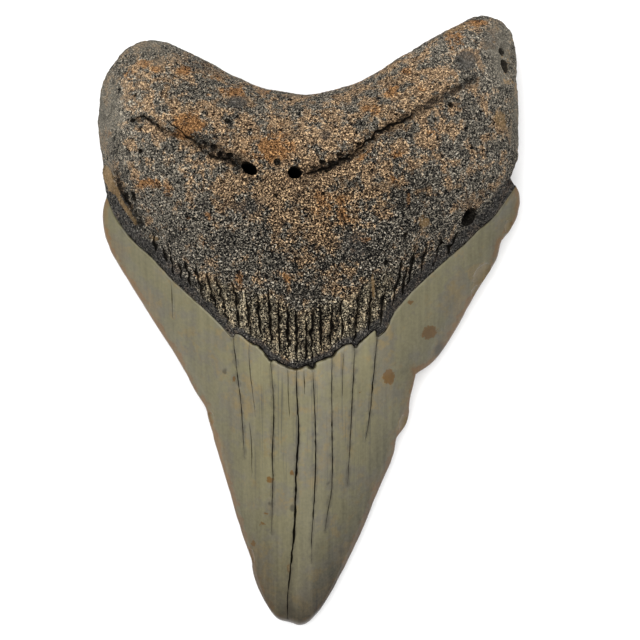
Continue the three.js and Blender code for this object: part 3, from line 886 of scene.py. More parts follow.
    def hole(self, hole: Hole, skin: BVHTree) -> bpy.types.Object:
        """Models the rounded plug that cuts a hole.

        Args:
            hole: the cut.
            skin: the surface that it is cut into.

        Returns:
            The plug, as a closed object.
        """
        x, y = hole.place
        centre = Vector((x, y, height_on(skin, x, y) - hole.sink))
        normal = skin.find_nearest(centre * MM)[1]
        slope = Vector((0.0, 0.0, 1.0)).rotation_difference(normal)
        bpy.ops.mesh.primitive_uv_sphere_add(segments=18, ring_count=12, radius=1.0)
        plug = bpy.context.object
        bpy.ops.object.mode_set(mode="EDIT")
        bpy.ops.mesh.select_all(action="SELECT")
        bpy.ops.transform.resize(value=[radius * MM for radius in hole.radii], center_override=(0, 0, 0))
        bpy.ops.object.mode_set(mode="OBJECT")
        plug.rotation_euler = (slope @ Euler((0.0, hole.lean, hole.turn)).to_quaternion()).to_euler()
        plug.location = centre * MM
        bpy.ops.object.transform_apply()
        points = read(plug.data.vertices, "co", 3) / MM
        rough = np.array([noise.noise(Vector(point) * self.plug_pitch) for point in points])
        points = lerp(np.array(centre), points, 1.0 + self.plug_roughness * rough[:, None])
        write(plug.data.vertices, "co", points * MM)
        return plug

    def cut(self, body: bpy.types.Object, cutters: list[bpy.types.Object]) -> None:
        """Takes cutters out of the body, in one go, and deletes them.

        Args:
            body: the tooth, whose mesh is changed.
            cutters: closed objects that don't touch each other.
        """
        bpy.ops.object.select_all(action="DESELECT")
        for cutter in cutters:
            cutter.select_set(True)
        tool = bpy.context.view_layer.objects.active = cutters[0]
        bpy.ops.object.join()
        bpy.ops.object.mode_set(mode="EDIT")
        bpy.ops.mesh.select_all(action="SELECT")
        bpy.ops.mesh.normals_make_consistent(inside=False)
        bpy.ops.object.mode_set(mode="OBJECT")
        bpy.ops.object.select_all(action="DESELECT")
        bpy.context.view_layer.objects.active = body
        modifier = body.modifiers.new("cut", "BOOLEAN")
        modifier.operation = "DIFFERENCE"
        modifier.solver = "MANIFOLD"
        modifier.object = tool
        bpy.ops.object.modifier_apply(modifier=modifier.name)
        bpy.data.objects.remove(tool)


def straight_bar(steps: int) -> bpy.types.Object:
    """Models a straight three-sided bar along Z, by extruding its end face.

    Args:
        steps: how many times it is extruded, by a metre each time.

    Returns:
        The bar.
    """
    bpy.ops.mesh.primitive_circle_add(vertices=3, radius=1.0, fill_type="NGON")
    bar = bpy.context.object
    bpy.ops.object.mode_set(mode="EDIT")
    bpy.ops.mesh.select_all(action="SELECT")
    for _ in range(steps):
        bpy.ops.mesh.extrude_region_move(TRANSFORM_OT_translate={"value": (0, 0, 1)})
    bpy.ops.object.mode_set(mode="OBJECT")
    return bar


def surface_tree(mesh: bpy.types.Mesh) -> BVHTree:
    """Makes a search tree of a mesh, in metres."""
    points = [vertex.co.copy() for vertex in mesh.vertices]
    return BVHTree.FromPolygons(points, [tuple(face.vertices) for face in mesh.polygons])


def height_on(skin: BVHTree, x: float, y: float) -> float:
    """Finds the height of the upper face, or off the tooth's edge that of the nearest point.

    Args:
        skin: the surface.
        x: the place, in mm.
        y: the place, in mm.

    Returns:
        The height in mm.
    """
    hit = skin.ray_cast(Vector((x, y, WELL_ABOVE)) * MM, Vector((0.0, 0.0, -1.0)))[0]
    if hit is None:
        hit = skin.find_nearest(Vector((x, y, EDGE_HEIGHT)) * MM)[0]
    return hit.z / MM


@dataclass
class Painter:
    """Paints where the rust, ochre, rubbed bone and black stain lie, and where painted shade falls, as
    vertex attributes.
    """

    enamel: EnamelEdge = field(default_factory=EnamelEdge)
    outline: Outline = field(default_factory=Outline)
    rim_width: float = 1.5
    # The enamel is painted darker as shade along its cutting edges, low on the right and on the right, by
    # these shares
    flank_shade_width: float = 8.0
    left_shade: float = 0.7
    low_right_shade: float = 0.6
    right_shade: float = 0.5
    crown_axis: float = -3.0
    low_right_from: Span = (-3.0, 5.0)
    low_from: Span = (12.0, 32.0)
    right_from: Span = (8.0, 22.0)
    # How far the striated bone and the cracked enamel reach to the sides, and where they fade out
    striated_axis: float = -2.5
    striated_fade: Span = (14.0, 22.0)
    cracked_fade: Span = (11.0, 17.0)
    # Where the furrows set in and fade out, and where the bare band does, as shares of their reach
    stria_start: Span = (0.05, 0.2)
    stria_end: Span = (0.6, 1.15)
    band_end: Span = (0.5, 1.4)
    seam_width: float = 0.55
    # The worn, pale ridge at the left shoulder
    shoulder_ridge: Places = ((-38.7, 29.2), (-38.1, 26.8), (-36.7, 25), (-35.2, 22), (-32.8, 18.6))
    ridge_width: float = 0.45
    # How wide the bare band above the enamel's edge is, as pairs of x and a width
    band_width: Places = (
        (-41, 2.5), (-30, 2.6), (-20, 1.9), (-12, 1.3), (-4, 1), (4, 1.2), (10, 2), (16, 2), (25, 2.4),
        (41, 2.6),
    )
    # Each row has the stain's middle, half-sizes and strength, and then its turn where it has one
    rust: tuple[Stain, ...] = stains(
        (-34.3, 46.6, 1.9, 1.3, 0.8), (-31.1, 48.7, 1.5, 1.1, 0.7), (-29, 47.4, 1.1, 0.9, 0.6),
        (-23.3, 47.4, 1.7, 1.1, 0.8), (-18, 45.5, 1.9, 0.9, 0.5), (-14, 43.4, 2.7, 1.1, 0.9),
        (-8.1, 43.4, 1.9, 0.9, 0.7), (-19.7, 42.5, 1.9, 1.3, 0.6), (-22.5, 36.6, 3.8, 2.7, 1),
        (-24.4, 34.9, 1.9, 1.1, 1), (-7.3, 32, 4.2, 3.8, 0.9), (-37.4, 35.4, 1.1, 0.9, 0.7),
        (-30.3, 26.3, 2.3, 1.3, 0.7), (-26.9, 24.4, 1.3, 1.1, 0.5), (-22.7, 19.5, 0.9, 0.9, 0.8),
        (-18.9, 19.7, 1.1, 1.3, 0.8), (-19.7, 14.2, 1.1, 1.5, 0.5), (-15.9, 10.4, 1.1, 0.9, 0.6),
        (-13, 8.3, 1.1, 1.9, 0.9), (-4.5, 8.3, 1.9, 1.9, 0.5), (4.8, 21.2, 4.8, 4.8, 0.6),
        (32, 56.5, 1.9, 0.8, 0.8), (27.3, 53.1, 3, 1.9, 0.9), (18.1, 47.2, 1.1, 1, 1.1),
        (15.6, 43.2, 2, 1, 1, 0.6), (20.8, 43.6, 1.3, 0.9, 0.6), (11.9, 39.6, 2.3, 1.3, 0.6),
        (2.8, 42.3, 2.7, 0.9, 0.4), (29.2, 46.3, 1.5, 0.9, 0.5), (10.7, 30.7, 2.7, 1.3, 0.7),
        (16.6, 30.9, 1.5, 1.1, 0.7), (23.3, 35.6, 1.7, 1.1, 0.6), (16.1, 26.7, 1.3, 1.1, 0.7),
        (10.7, 15.1, 1.5, 1.1, 0.7), (18.5, 22.7, 0.8, 2, 0.9), (37.7, 26.5, 0.9, 0.9, 0.9),
    )
    crust_everywhere: float = 0.32
    # Where the crust is thicker (above zero) or has gone (below zero)
    crust: tuple[Stain, ...] = stains(
        (-3.7, 27, 13, 10, 0.35), (-24, 37, 8, 6, 0.2), (-33, 46, 4, 4, 0.2), (20, 44, 11, 6, 0.25, 0.5),
        (3, 17, 7, 6, 0.2), (-27, 20, 8, 7, -0.28), (13, 14, 5, 6, -0.25), (24, 20, 8, 8, -0.15),
        (34, 48, 5, 9, -0.2), (-39, 38, 4, 9, -0.2), (-14, 13, 7, 5, -0.12), (-8, 34, 30, 12, 0.1),
        (10, 25, 8, 5, 0.2), (24, 40, 6, 6, 0.2), (-16, 20, 4, 3, -0.2),
    )
    coarse_everywhere: float = 0.25
    # Where the grain is coarser (above zero) or finer (below zero)
    coarse: tuple[Stain, ...] = stains(
        (2, 14, 22, 16, 0.75), (-36, 42, 8, 14, -0.3), (32, 50, 10, 9, -0.25),
    )
    # How far the furrows reach up the root from the enamel's edge, as pairs of x and a length
    stria_reach: Places = (
        (-41, 2), (-30, 3.5), (-20, 5.5), (-12, 8.5), (-6, 11), (0, 11), (8, 9), (16, 7.5), (24, 5),
        (41, 2),
    )
    enamel_rust: tuple[Stain, ...] = stains(
        (15, -10.4, 1.3, 1.7, 1), (22.7, -2.1, 1.9, 1.4, 1, 0.3), (19.1, 3.6, 0.9, 0.6, 0.8),
        (9.4, -13.2, 0.7, 0.6, 0.7), (-14.2, -10.9, 0.5, 0.9, 0.8), (-7.5, -29.9, 0.9, 0.8, 0.9),
        (-3.3, -28.6, 0.6, 0.7, 0.9), (-9, -38.5, 0.9, 0.7, 0.7), (-8.3, -36.2, 1, 0.7, 0.6),
        (-3.9, -46.8, 0.5, 0.9, 0.9), (-10.7, -42.2, 0.7, 1, 0.7),
    )
    ochre: tuple[Stain, ...] = stains(
        (32.6, 9, 2.4, 2, 1.5), (31.6, 6, 1, 1.2, 1), (17.8, -19.2, 1.3, 1.6, 0.9),
        (37.7, 18, 0.9, 0.9, 0.9), (-38.6, 20, 0.7, 3, 0.7), (-36.4, 11.5, 0.6, 3, 0.6),
        (-30.3, 2.4, 0.5, 3, 0.5), (21.6, 18.5, 1.5, 1.5, 0.7), (36.3, 38.4, 2, 2, 0.6),
        (-29.5, 15.7, 1.7, 1.3, 0.5), (-38.1, 27.2, 0.9, 2.6, 1.4, 0.35), (12, 6.5, 0.3, 3, 0.9, 0.08),
        (38, 49, 3, 6, 0.45), (26, 55, 6, 2.5, 0.4, 0.5), (17.6, -19.4, 0.8, 0.6, 0.7),
        (-3.9, -46.8, 0.5, 0.8, 0.7),
    )
    worn: tuple[Stain, ...] = stains(
        (-39, 40, 5, 11, 1), (-30, 52, 9, 4, 0.7), (36.5, 51, 4, 8, 1), (39.5, 38, 2.5, 12, 0.8),
        (29.3, 48.9, 1.6, 1.6, 1.4), (-13.6, 41, 1.9, 1.2, 1), (-38.2, 27.5, 1.4, 4, 1),
        (-4, 43.5, 9, 1.6, 0.5),
    )
    # Black stains, and painted shade along the troughs, in the left shoulder's groove and in the shallow
    # valley on the right of the root
    ink_and_shade: tuple[Stain, ...] = stains(
        (29.3, 48.9, 1.6, 1.6, 2.4), (-13.6, 41, 2.1, 1.3, 1.2), (-24, 14, 9, 5, 0.4, -0.6),
        (22, 15, 9, 5, 0.25, 0.7), (0, -2, 8, 4, 0.3), (34, 53, 3, 3, 0.5), (-16, 31, 5, 1.3, 0.6, -0.45),
        (4, 29.3, 6, 1.3, 0.6, 0.4), (25, 42, 8, 1.3, 0.7, 0.5), (-35, 23, 1.4, 3.4, 0.7, 0.4),
        (-21, 48.5, 5, 1.8, 0.6, -0.4), (17, 46, 6, 1.4, 0.4, 0.5), (17.8, -9.3, 1.1, 1.6, 0.6),
        (6.2, -43.6, 1.3, 0.9, 0.5), (-4.2, -55.5, 2, 2.6, 0.8), (30, 24, 6, 5, 0.4),
        (-6.9, -19.1, 0.4, 0.5, 0.8), (8.1, 14.2, 3.4, 3.2, 0.8, -0.5), (-11.3, 21.4, 3.6, 2.2, 0.75),
        (12.9, 8.8, 3, 2.4, 0.35), (3.1, 35, 1.3, 1.1, 0.9), (-16, -9.4, 0.5, 0.5, 1.3),
        (-3.2, -35.3, 0.6, 0.7, 1.3), (0.1, -38.3, 0.4, 0.4, 1), (3.5, -30.5, 0.5, 0.5, 1),
        (-7.5, -34.3, 0.4, 0.4, 1), (24.5, -5.4, 1.2, 2, 0.8, -0.4),
    )

    def paint(
        self, body: bpy.types.Object, skin: BVHTree, cracks: tuple[Furrow, ...],
        troughs: tuple[Trough, ...],
    ) -> None:
        """Writes every painted value.

        Args:
            body: the carved tooth.
            skin: its surface before it was carved.
            cracks: the cracks of the enamel, which have dark edges.
            troughs: the troughs of the root, along which painted shade lies.
        """
        points = read(body.data.vertices, "co", 3) / MM
        plan = points[:, :2]
        nearest = [skin.find_nearest(Vector(point) * MM) for point in points]
        upper = np.array([normal.z for _, normal, _, _ in nearest]) > 0.0
        lingual = self.enamel.inside(plan, self.enamel.lingual)
        labial = self.enamel.inside(plan, self.enamel.labial)
        inside = np.where(upper, lingual, labial)
        bone = inside < 0.0
        margin = distance_to(plan, self.outline.crown_edge())
        rim = np.exp(-((margin / self.rim_width) ** 2))
        to_crack = np.min([distance_to(plan, crack.path) for crack in cracks], axis=0)
        to_trough = [distance_to(plan, trough.path) / trough.half_width for trough in troughs]
        # on the bone the seam is painted shade along the troughs; on the enamel it is closeness to the
        # cracks
        trough_shade = np.exp(-(np.min(to_trough, axis=0) ** 2)) * upper
        seam = np.where(bone, trough_shade, np.exp(-((to_crack / self.seam_width) ** 2)))
        ridge = np.exp(-((distance_to(plan, self.shoulder_ridge) / self.ridge_width) ** 2)) * upper
        width = np.interp(plan[:, 0], *np.array(self.band_width, float).T)
        reach = -inside / np.interp(plan[:, 0], *np.array(self.stria_reach, float).T)
        striated = smoothstep(reach, *self.stria_start) - smoothstep(reach, *self.stria_end)
        striated *= upper
        beside = np.abs(plan[:, 0] - self.striated_axis)
        values = {
            Paint.ENAMEL: inside,
            Paint.STRIATED: striated * (1.0 - smoothstep(beside, *self.striated_fade)),
            Paint.BAND: 1.0 - smoothstep(-inside / width, *self.band_end),
            Paint.SEAM: seam,
            Paint.CRACKED: 1.0 - smoothstep(np.abs(plan[:, 0]), *self.cracked_fade),
            Paint.COARSE: self.coarse_everywhere + sum(stain.over(plan) for stain in self.coarse),
            Paint.CRUST: self.crust_everywhere + sum(stain.over(plan) for stain in self.crust),
            Paint.RUST: np.where(bone, strongest(self.rust, plan), strongest(self.enamel_rust, plan)),
            Paint.OCHRE: np.maximum(strongest(self.ochre, plan), ridge),
            Paint.WORN: strongest(self.worn, plan),
            Paint.INK: strongest(self.ink_and_shade, plan),
            Paint.RIM: rim * ~bone,
            # the enamel's painted shade, along its cutting edges and on its right
            Paint.FLANK: self.flank_shade(plan, margin) * ~bone,
            Paint.CUT: np.array([distance for _, _, _, distance in nearest]) / MM,
        }
        for paint, value in values.items():
            attribute = body.data.attributes.new(paint.value, "FLOAT", "POINT")
            write(attribute.data, "value", value)

    def flank_shade(self, plan: np.ndarray, margin: np.ndarray) -> np.ndarray:
        """Gives how much painted shade darkens the enamel: along its cutting edges, and on the right.

        Args:
            plan: the places, n by 2, in mm.
            margin: how far each is from the nearer cutting edge.

        Returns:
            0 where it has no painted shade, and about 1 where the painted shade is deepest.
        """
        x, y = plan.T
        edge = 1.0 - smoothstep(margin, 0.0, self.flank_shade_width)
        edge *= np.where(x > self.crown_axis, 1.0, self.left_shade)
        low_right = smoothstep(x, *self.low_right_from) * smoothstep(-y, *self.low_from)
        right = smoothstep(x, *self.right_from)
        return edge + self.low_right_shade * low_right + self.right_shade * right


def strongest(layers: tuple[Stain, ...], plan: np.ndarray) -> np.ndarray:
    """Lays stains over each other and keeps the strongest at each place."""
    return np.max([stain.over(plan) for stain in layers], axis=0)


@dataclass(frozen=True)
class Tint:
    """A colour as a camera shows it, in steps of 0 to 255."""

    red: int
    green: int
    blue: int

    def linear(self) -> tuple[float, float, float, float]:
        """Works out the colour in the linear light that shaders use.

        Returns:
            Its red, green, blue and alpha, from 0 to 1.
        """
        shares = [step / 255.0 for step in (self.red, self.green, self.blue)]
        steps = [s / 12.92 if s <= 0.04045 else ((s + 0.055) / 1.055) ** 2.4 for s in shares]
        return (*steps, 1.0)


@dataclass(frozen=True)
class Cloud:
    """A cloudy noise: its size in mm, how many finer layers it has and how strong, and its swirl."""

    size_mm: float
    detail: float
    rough: float
    swirl: float = 0.0


class Term:
    """A number that varies over a surface, held by a socket, with Python's arithmetic."""

    def __init__(self, bench: "NodeBench", socket: bpy.types.NodeSocket) -> None:
        """Wraps a socket of a bench's material."""
        self.bench, self.socket = bench, socket

    def __add__(self, other: "Term | float") -> "Term":
        """Adds a term or a number."""
        return self.bench.math("ADD", self, other)

    __radd__ = __add__

    def __mul__(self, other: "Term | float") -> "Term":
        """Multiplies by a term or a number."""
        return self.bench.math("MULTIPLY", self, other)

    __rmul__ = __mul__

    def __sub__(self, other: "Term | float") -> "Term":
        """Subtracts a term or a number."""
        return self.bench.math("SUBTRACT", self, other)

    def __rsub__(self, other: float) -> "Term":
        """Subtracts this term from a number."""
        return self.bench.math("SUBTRACT", other, self)


class NodeBench:
    """The material that is being made, and the few ways in which nodes are added to it."""

    def __init__(self, name: str) -> None:
        """Starts an empty material.

        Args:
            name: its name.
        """
        self.material = bpy.data.materials.new(name)
        self.material.use_nodes = True
        self.tree = self.material.node_tree
        self.tree.nodes.clear()

    def node(self, kind: str, settings: dict, **sockets: object) -> bpy.types.Node:
        """Adds a node.

        Args:
            kind: its type.
            settings: properties that are set first, such as an operation.
            **sockets: values or links of its input sockets; a name may hold _ for a space.

        Returns:
            The node.
        """
        node = self.tree.nodes.new(kind)
        for name, value in settings.items():
            setattr(node, name, value)
        for name, value in sockets.items():
            self.feed(open_socket(node.inputs, name.replace("_", " ")), value)
        return node

    def feed(self, socket: bpy.types.NodeSocket, value: object) -> None:
        """Sets a socket to a value, or links it to a term or another socket.

        Args:
            socket: the input socket.
            value: a term, an output socket, a tint or a plain value.
        """
        if isinstance(value, Term):
            self.tree.links.new(value.socket, socket)
        elif isinstance(value, bpy.types.NodeSocket):
            self.tree.links.new(value, socket)
        else:
            socket.default_value = value.linear() if isinstance(value, Tint) else value

    def math(self, operation: str, first: object, second: object) -> Term:
        """Adds a Math node.

        Args:
            operation: what it does.
            first: a term or a number.
            second: a term or a number.

        Returns:
            The result.
        """
        node = self.node("ShaderNodeMath", {"operation": operation})
        self.feed(node.inputs[0], first)
        self.feed(node.inputs[1], second)
        return Term(self, node.outputs[0])

    def attribute(self, paint: Paint) -> Term:
        """Reads a painted value."""
        node = self.node("ShaderNodeAttribute", {"attribute_name": paint.value})
        return Term(self, node.outputs["Fac"])

    def place(self, stretch: tuple[float, float, float] = (1.0, 1.0, 1.0)) -> bpy.types.NodeSocket:
        """Gives the place on the piece in metres.

        Args:
            stretch: what the place is multiplied by along each axis; below 1 it draws a noise out.

        Returns:
            The socket of the place.
        """
        coordinate = self.node("ShaderNodeTexCoord", {})
        mapping = self.node("ShaderNodeMapping", {}, Vector=coordinate.outputs["Object"], Scale=stretch)
        return mapping.outputs[0]

    def noise(self, place: bpy.types.NodeSocket, cloud: Cloud) -> Term:
        """Adds cloudy noise.

        Args:
            place: where to read it.
            cloud: what it is like.

        Returns:
            Values around 0.5.
        """
        node = self.node(
            "ShaderNodeTexNoise", {}, Vector=place, Scale=1.0 / (cloud.size_mm * MM), Detail=cloud.detail,
            Roughness=cloud.rough, Distortion=cloud.swirl,
        )
        return Term(self, node.outputs["Fac"])

    def spread(self, place: bpy.types.NodeSocket, cloud: Cloud) -> Term:
        """Adds cloudy noise with values around 0."""
        return self.noise(place, cloud) - 0.5

    def cells(self, place: bpy.types.NodeSocket, size_mm: float) -> Term:
        """Adds the distance to the middle of the nearest cell, with cells of a size in mm."""
        node = self.node("ShaderNodeTexVoronoi", {}, Vector=place, Scale=1.0 / (size_mm * MM))
        return Term(self, node.outputs["Distance"])

    def ramp_up(self, term: Term, low: float, high: float) -> Term:
        """Ramps a term smoothly from 0 at low to 1 at high."""
        settings = {"interpolation_type": "SMOOTHSTEP"}
        node = self.node("ShaderNodeMapRange", settings, Value=term, From_Min=low, From_Max=high)
        return Term(self, node.outputs[0])

    def blend(self, share: object, first: object, second: object) -> bpy.types.NodeSocket:
        """Mixes two colours: the first at a share of 0, the second at 1."""
        settings = {"data_type": "RGBA", "clamp_factor": True}
        node = self.node("ShaderNodeMix", settings, Factor=share, A=first, B=second)
        return open_socket(node.outputs, "Result")

    def shade(self, colour: bpy.types.NodeSocket, light: Term) -> bpy.types.NodeSocket:
        """Makes a colour lighter or darker.

        Args:
            colour: the colour.
            light: what it is multiplied by.

        Returns:
            The new colour.
        """
        node = self.node("ShaderNodeVectorMath", {"operation": "SCALE"}, Scale=light)
        self.feed(node.inputs[0], colour)
        return node.outputs[0]

    def solid(self, tint: Tint) -> bpy.types.NodeSocket:
        """Adds a colour that doesn't vary.

        Args:
            tint: the colour.

        Returns:
            The socket of the colour.
        """
        node = self.node("ShaderNodeRGB", {})
        node.outputs[0].default_value = tint.linear()
        return node.outputs[0]

    def finish(self, **sockets: object) -> bpy.types.Material:
        """Ends the material with its one shader.

        Args:
            **sockets: values or links of the shader's input sockets.

        Returns:
            The material.
        """
        shader = self.node("ShaderNodeBsdfPrincipled", {}, **sockets)
        output = self.node("ShaderNodeOutputMaterial", {})
        self.feed(output.inputs["Surface"], shader.outputs[0])
        return self.material


def open_socket(sockets: bpy.types.bpy_prop_collection, name: str) -> bpy.types.NodeSocket:
    """Finds the socket of a name that is in use, among those that share it."""
    return next(socket for socket in sockets if socket.name == name and socket.enabled)


@dataclass(frozen=True)
class Shades:
    """Four shades of one weathered surface, from the bottom of its pores to the tops of its ridges:
    partly its own grain, partly painted shade in the pores and painted highlights on the ridges.
    """

    pore: Tint
    low: Tint
    high: Tint
    ridge: Tint


@dataclass(frozen=True)
class Noises:
    """The noises that stir the edges of patches: as fine as grain, as small as knots, and broader."""

    fine: Term
    knots: Term
    broad: Term


@dataclass(frozen=True)
class Patch:
    """How a painted value shows: where it sets in, how strong it is, and what stirs its edge."""

    paint: Paint
    low: float
    high: float
    strength: float = 1.0
    fine: float = 0.0
    knots: float = 0.0
    broad: float = 0.0
    weight: float = 1.0

    def mask(self, bench: NodeBench, noises: Noises) -> Term:
        """Makes the mask of the patch.

        Args:
            bench: the material.
            noises: what stirs the patch's edge.

        Returns:
            0 outside the patch, and 1 in it.
        """
        value = bench.attribute(self.paint) * self.weight
        stirs = ((noises.fine, self.fine), (noises.knots, self.knots), (noises.broad, self.broad))
        for term, share in stirs:
            if share:
                value = value + term * share
        return bench.ramp_up(value, self.low, self.high)


@dataclass(frozen=True)
class Relief:
    """How far each part of the bone's grain lifts or lowers it, and the levels of pores and ridges."""

    grain: float = 3.6
    coarse_grain: float = 6.5
    knots: float = 1.6
    threads: float = 0.8
    crust: float = 0.06
    crust_paint: float = 0.2
    pits: float = 0.6
    coarse_pores: float = 0.62
    reeds: float = 3.0
    level: float = 0.5
    pore: float = -0.2
    ridge: float = 1.7


@dataclass(frozen=True)
class BoneFinish:
    """The finish of the root: porous slate bone under a brown crust, rubbed bare at its lobes."""

    slate: Shades = Shades(Tint(3, 3, 3), Tint(50, 49, 47), Tint(101, 96, 87), Tint(192, 181, 161))
    crust: Shades = Shades(Tint(6, 4, 3), Tint(75, 59, 44), Tint(130, 107, 84), Tint(212, 180, 140))
    rust: Shades = Shades(Tint(24, 15, 8), Tint(102, 68, 40), Tint(138, 98, 60), Tint(198, 148, 94))
    ridged: Shades = Shades(Tint(4, 4, 3), Tint(52, 48, 41), Tint(121, 111, 91), Tint(202, 187, 154))
    rubbed_tint: Tint = Tint(88, 84, 75)
    ochre_tint: Tint = Tint(122, 100, 70)
    slate_speck_and_glint: Tint = Tint(186, 182, 170)
    crust_speck_and_glint: Tint = Tint(208, 174, 128)
    ink_and_shade_tint: Tint = Tint(50, 49, 48)
    recess_shade_tint: Tint = Tint(17, 15, 12)
    grain_cloud: Cloud = Cloud(0.3, 2, 0.8, 0.7)
    knot_cloud: Cloud = Cloud(1.2, 4, 0.72, 1.2)
    blotch_cloud: Cloud = Cloud(3.4, 5, 0.68)
    broad_cloud: Cloud = Cloud(14.0, 3, 0.5)
    thread_cloud: Cloud = Cloud(0.6, 2, 0.6, 0.8)
    reed_cloud: Cloud = Cloud(0.7, 3, 0.6)
    reed_stretch: tuple[float, float, float] = (1.0, 0.16, 0.16)
    speck_and_glint_cloud: Cloud = Cloud(0.3, 1, 0.5)
    pit_spacing_mm: float = 2.3
    thread_width: float = 0.07
    relief: Relief = Relief()
    crusty: Patch = Patch(Paint.CRUST, 0.26, 0.66, knots=1.0, broad=3.4)
    striated: Patch = Patch(Paint.STRIATED, 0.25, 0.75, 0.8, knots=1.5)
    rusty: Patch = Patch(Paint.RUST, 0.4, 0.75, 0.85, knots=1.4, broad=2.4)
    worn: Patch = Patch(Paint.WORN, 0.3, 0.8, 0.7, broad=2.0)
    ink_and_shade: Patch = Patch(Paint.INK, 0.25, 0.85, 0.7, knots=0.8, broad=1.6)
    band: Patch = Patch(Paint.BAND, 0.3, 0.8, 0.85, knots=2.4, broad=1.6)
    ochre: Patch = Patch(Paint.OCHRE, 0.35, 0.6, 0.75, knots=1.6, broad=1.4)
    # painted shade: ragged dark cavities along the troughs
    cavity_shade: Patch = Patch(Paint.SEAM, 0.5, 0.7, 0.9, fine=1.6, knots=3.2, weight=0.6)

    def dress(self, bench: NodeBench, place: bpy.types.NodeSocket) -> tuple[bpy.types.NodeSocket, Term]:
        """Makes the bone's colour and its relief.

        Args:
            bench: the material.
            place: the place on the piece.

        Returns:
            The colour, and the height from 0 in a pore to 1 on a ridge.
        """
        grain, knots = bench.spread(place, self.grain_cloud), bench.spread(place, self.knot_cloud)
        blotch = bench.spread(place, self.blotch_cloud)
        noises = Noises(grain, knots, blotch)
        crusty = self.crusty.mask(bench, noises)
        striated = self.striated.mask(bench, noises)
        height = self.height(bench, place, noises, crusty, striated)
        colour = self.shade_by(bench, height, self.slate)
        colour = bench.blend(crusty, colour, self.shade_by(bench, height, self.crust))
        # pale specks: partly grains of the bone, partly painted glints
        speck_and_glint = bench.ramp_up(bench.noise(place, self.speck_and_glint_cloud), 0.66, 0.74)
        ridged = self.shade_by(bench, height, self.ridged)
        colour = bench.blend(striated * self.striated.strength, colour, ridged)
        colour = bench.blend(speck_and_glint * 0.7, colour, bench.blend(crusty, self.slate_speck_and_glint, self.crust_speck_and_glint))
        rusty = self.rusty.mask(bench, noises) * self.rusty.strength
        colour = bench.blend(rusty, colour, self.shade_by(bench, height, self.rust))
        worn = self.worn.mask(bench, noises)
        rubbed = bench.shade(bench.solid(self.rubbed_tint), grain * 1.6 + 1.0)
        colour = bench.blend(worn * self.worn.strength, colour, rubbed)
        # black stain and painted shade, and the dark band above the enamel's edge
        ink_and_shade, band = self.ink_and_shade.mask(bench, noises), self.band.mask(bench, noises)
        black = bench.math("MAXIMUM", ink_and_shade * self.ink_and_shade.strength, band * self.band.strength)
        ink_and_shade_colour = bench.shade(bench.solid(self.ink_and_shade_tint), grain * 7.0 + knots * 3.0 + speck_and_glint * 2.4 + 1.0)
        colour = bench.blend(black, colour, ink_and_shade_colour)
        ochre = self.ochre.mask(bench, noises) * self.ochre.strength
        colour = bench.blend(ochre, colour, bench.shade(bench.solid(self.ochre_tint), grain * 2.0 + 1.0))
        # painted shade: ragged dark cavities along the troughs
        cavity_shade = self.cavity_shade.mask(bench, noises) * self.cavity_shade.strength
        colour = bench.blend(cavity_shade, colour, self.recess_shade_tint)
        shadow = bench.ramp_up(blotch, 0.02, -0.16) * 0.4 + bench.attribute(Paint.SEAM) * 0.12
        colour = bench.shade(colour, bench.spread(place, self.broad_cloud) * 0.8 + 1.1 - shadow)
        flat = bench.math("MAXIMUM", worn * 0.8, band * 0.2)
        return colour, height * (1.0 - flat)

    def height(
        self, bench: NodeBench, place: bpy.types.NodeSocket, noises: Noises, crusty: Term, striated: Term
    ) -> Term:
        """Makes the relief of the grain.

        Args:
            bench: the material.
            place: the place on the piece.
            noises: the grain, the knots and the blotches.
            crusty: where the crust lies.
            striated: where the furrows run.

        Returns:
            The height from 0 in a pore to 1 on a ridge.
        """
        relief, coarse = self.relief, bench.attribute(Paint.COARSE)
        # the threads are thin winding ridges, which the ridge shade paints as highlights
        threads = self.threads(bench, bench.noise(place, self.thread_cloud))
        cells = bench.cells(place, self.pit_spacing_mm) + noises.knots * 0.5
        pits = bench.ramp_up(cells, 0.2, 0.12)
        reeds = bench.spread(bench.place(self.reed_stretch), self.reed_cloud)
        height = noises.fine * (coarse * relief.coarse_grain + relief.grain) + noises.knots * relief.knots
        height = height + threads * relief.threads + crusty * relief.crust
        height = height + bench.attribute(Paint.CRUST) * relief.crust_paint
        height = height + reeds * striated * relief.reeds
        height = height - pits * relief.pits - coarse * relief.coarse_pores + relief.level
        return bench.ramp_up(height, relief.pore, relief.ridge)

    def threads(self, bench: NodeBench, cloud: Term) -> Term:
        """Turns a cloudy noise into thin winding lines, 1 on a line and 0 between them."""
        distance = bench.math("ABSOLUTE", cloud - 0.5, 0.0)
        return 1.0 - bench.ramp_up(distance, 0.0, self.thread_width)

    def shade_by(self, bench: NodeBench, height: Term, shades: Shades) -> bpy.types.NodeSocket:
        """Colours a relief with four shades, so that the pores hold painted shade and the ridges painted
        highlights.

        Args:
            bench: the material.
            height: the relief, from 0 in a pore to 1 on a ridge.
            shades: the shades.

        Returns:
            The colour.
        """
        low = bench.blend(bench.ramp_up(height, 0.0, 0.22), shades.pore, shades.low)
        high = bench.blend(bench.ramp_up(height, 0.2, 0.55), low, shades.high)
        return bench.blend(bench.ramp_up(height, 0.78, 1.0), high, shades.ridge)


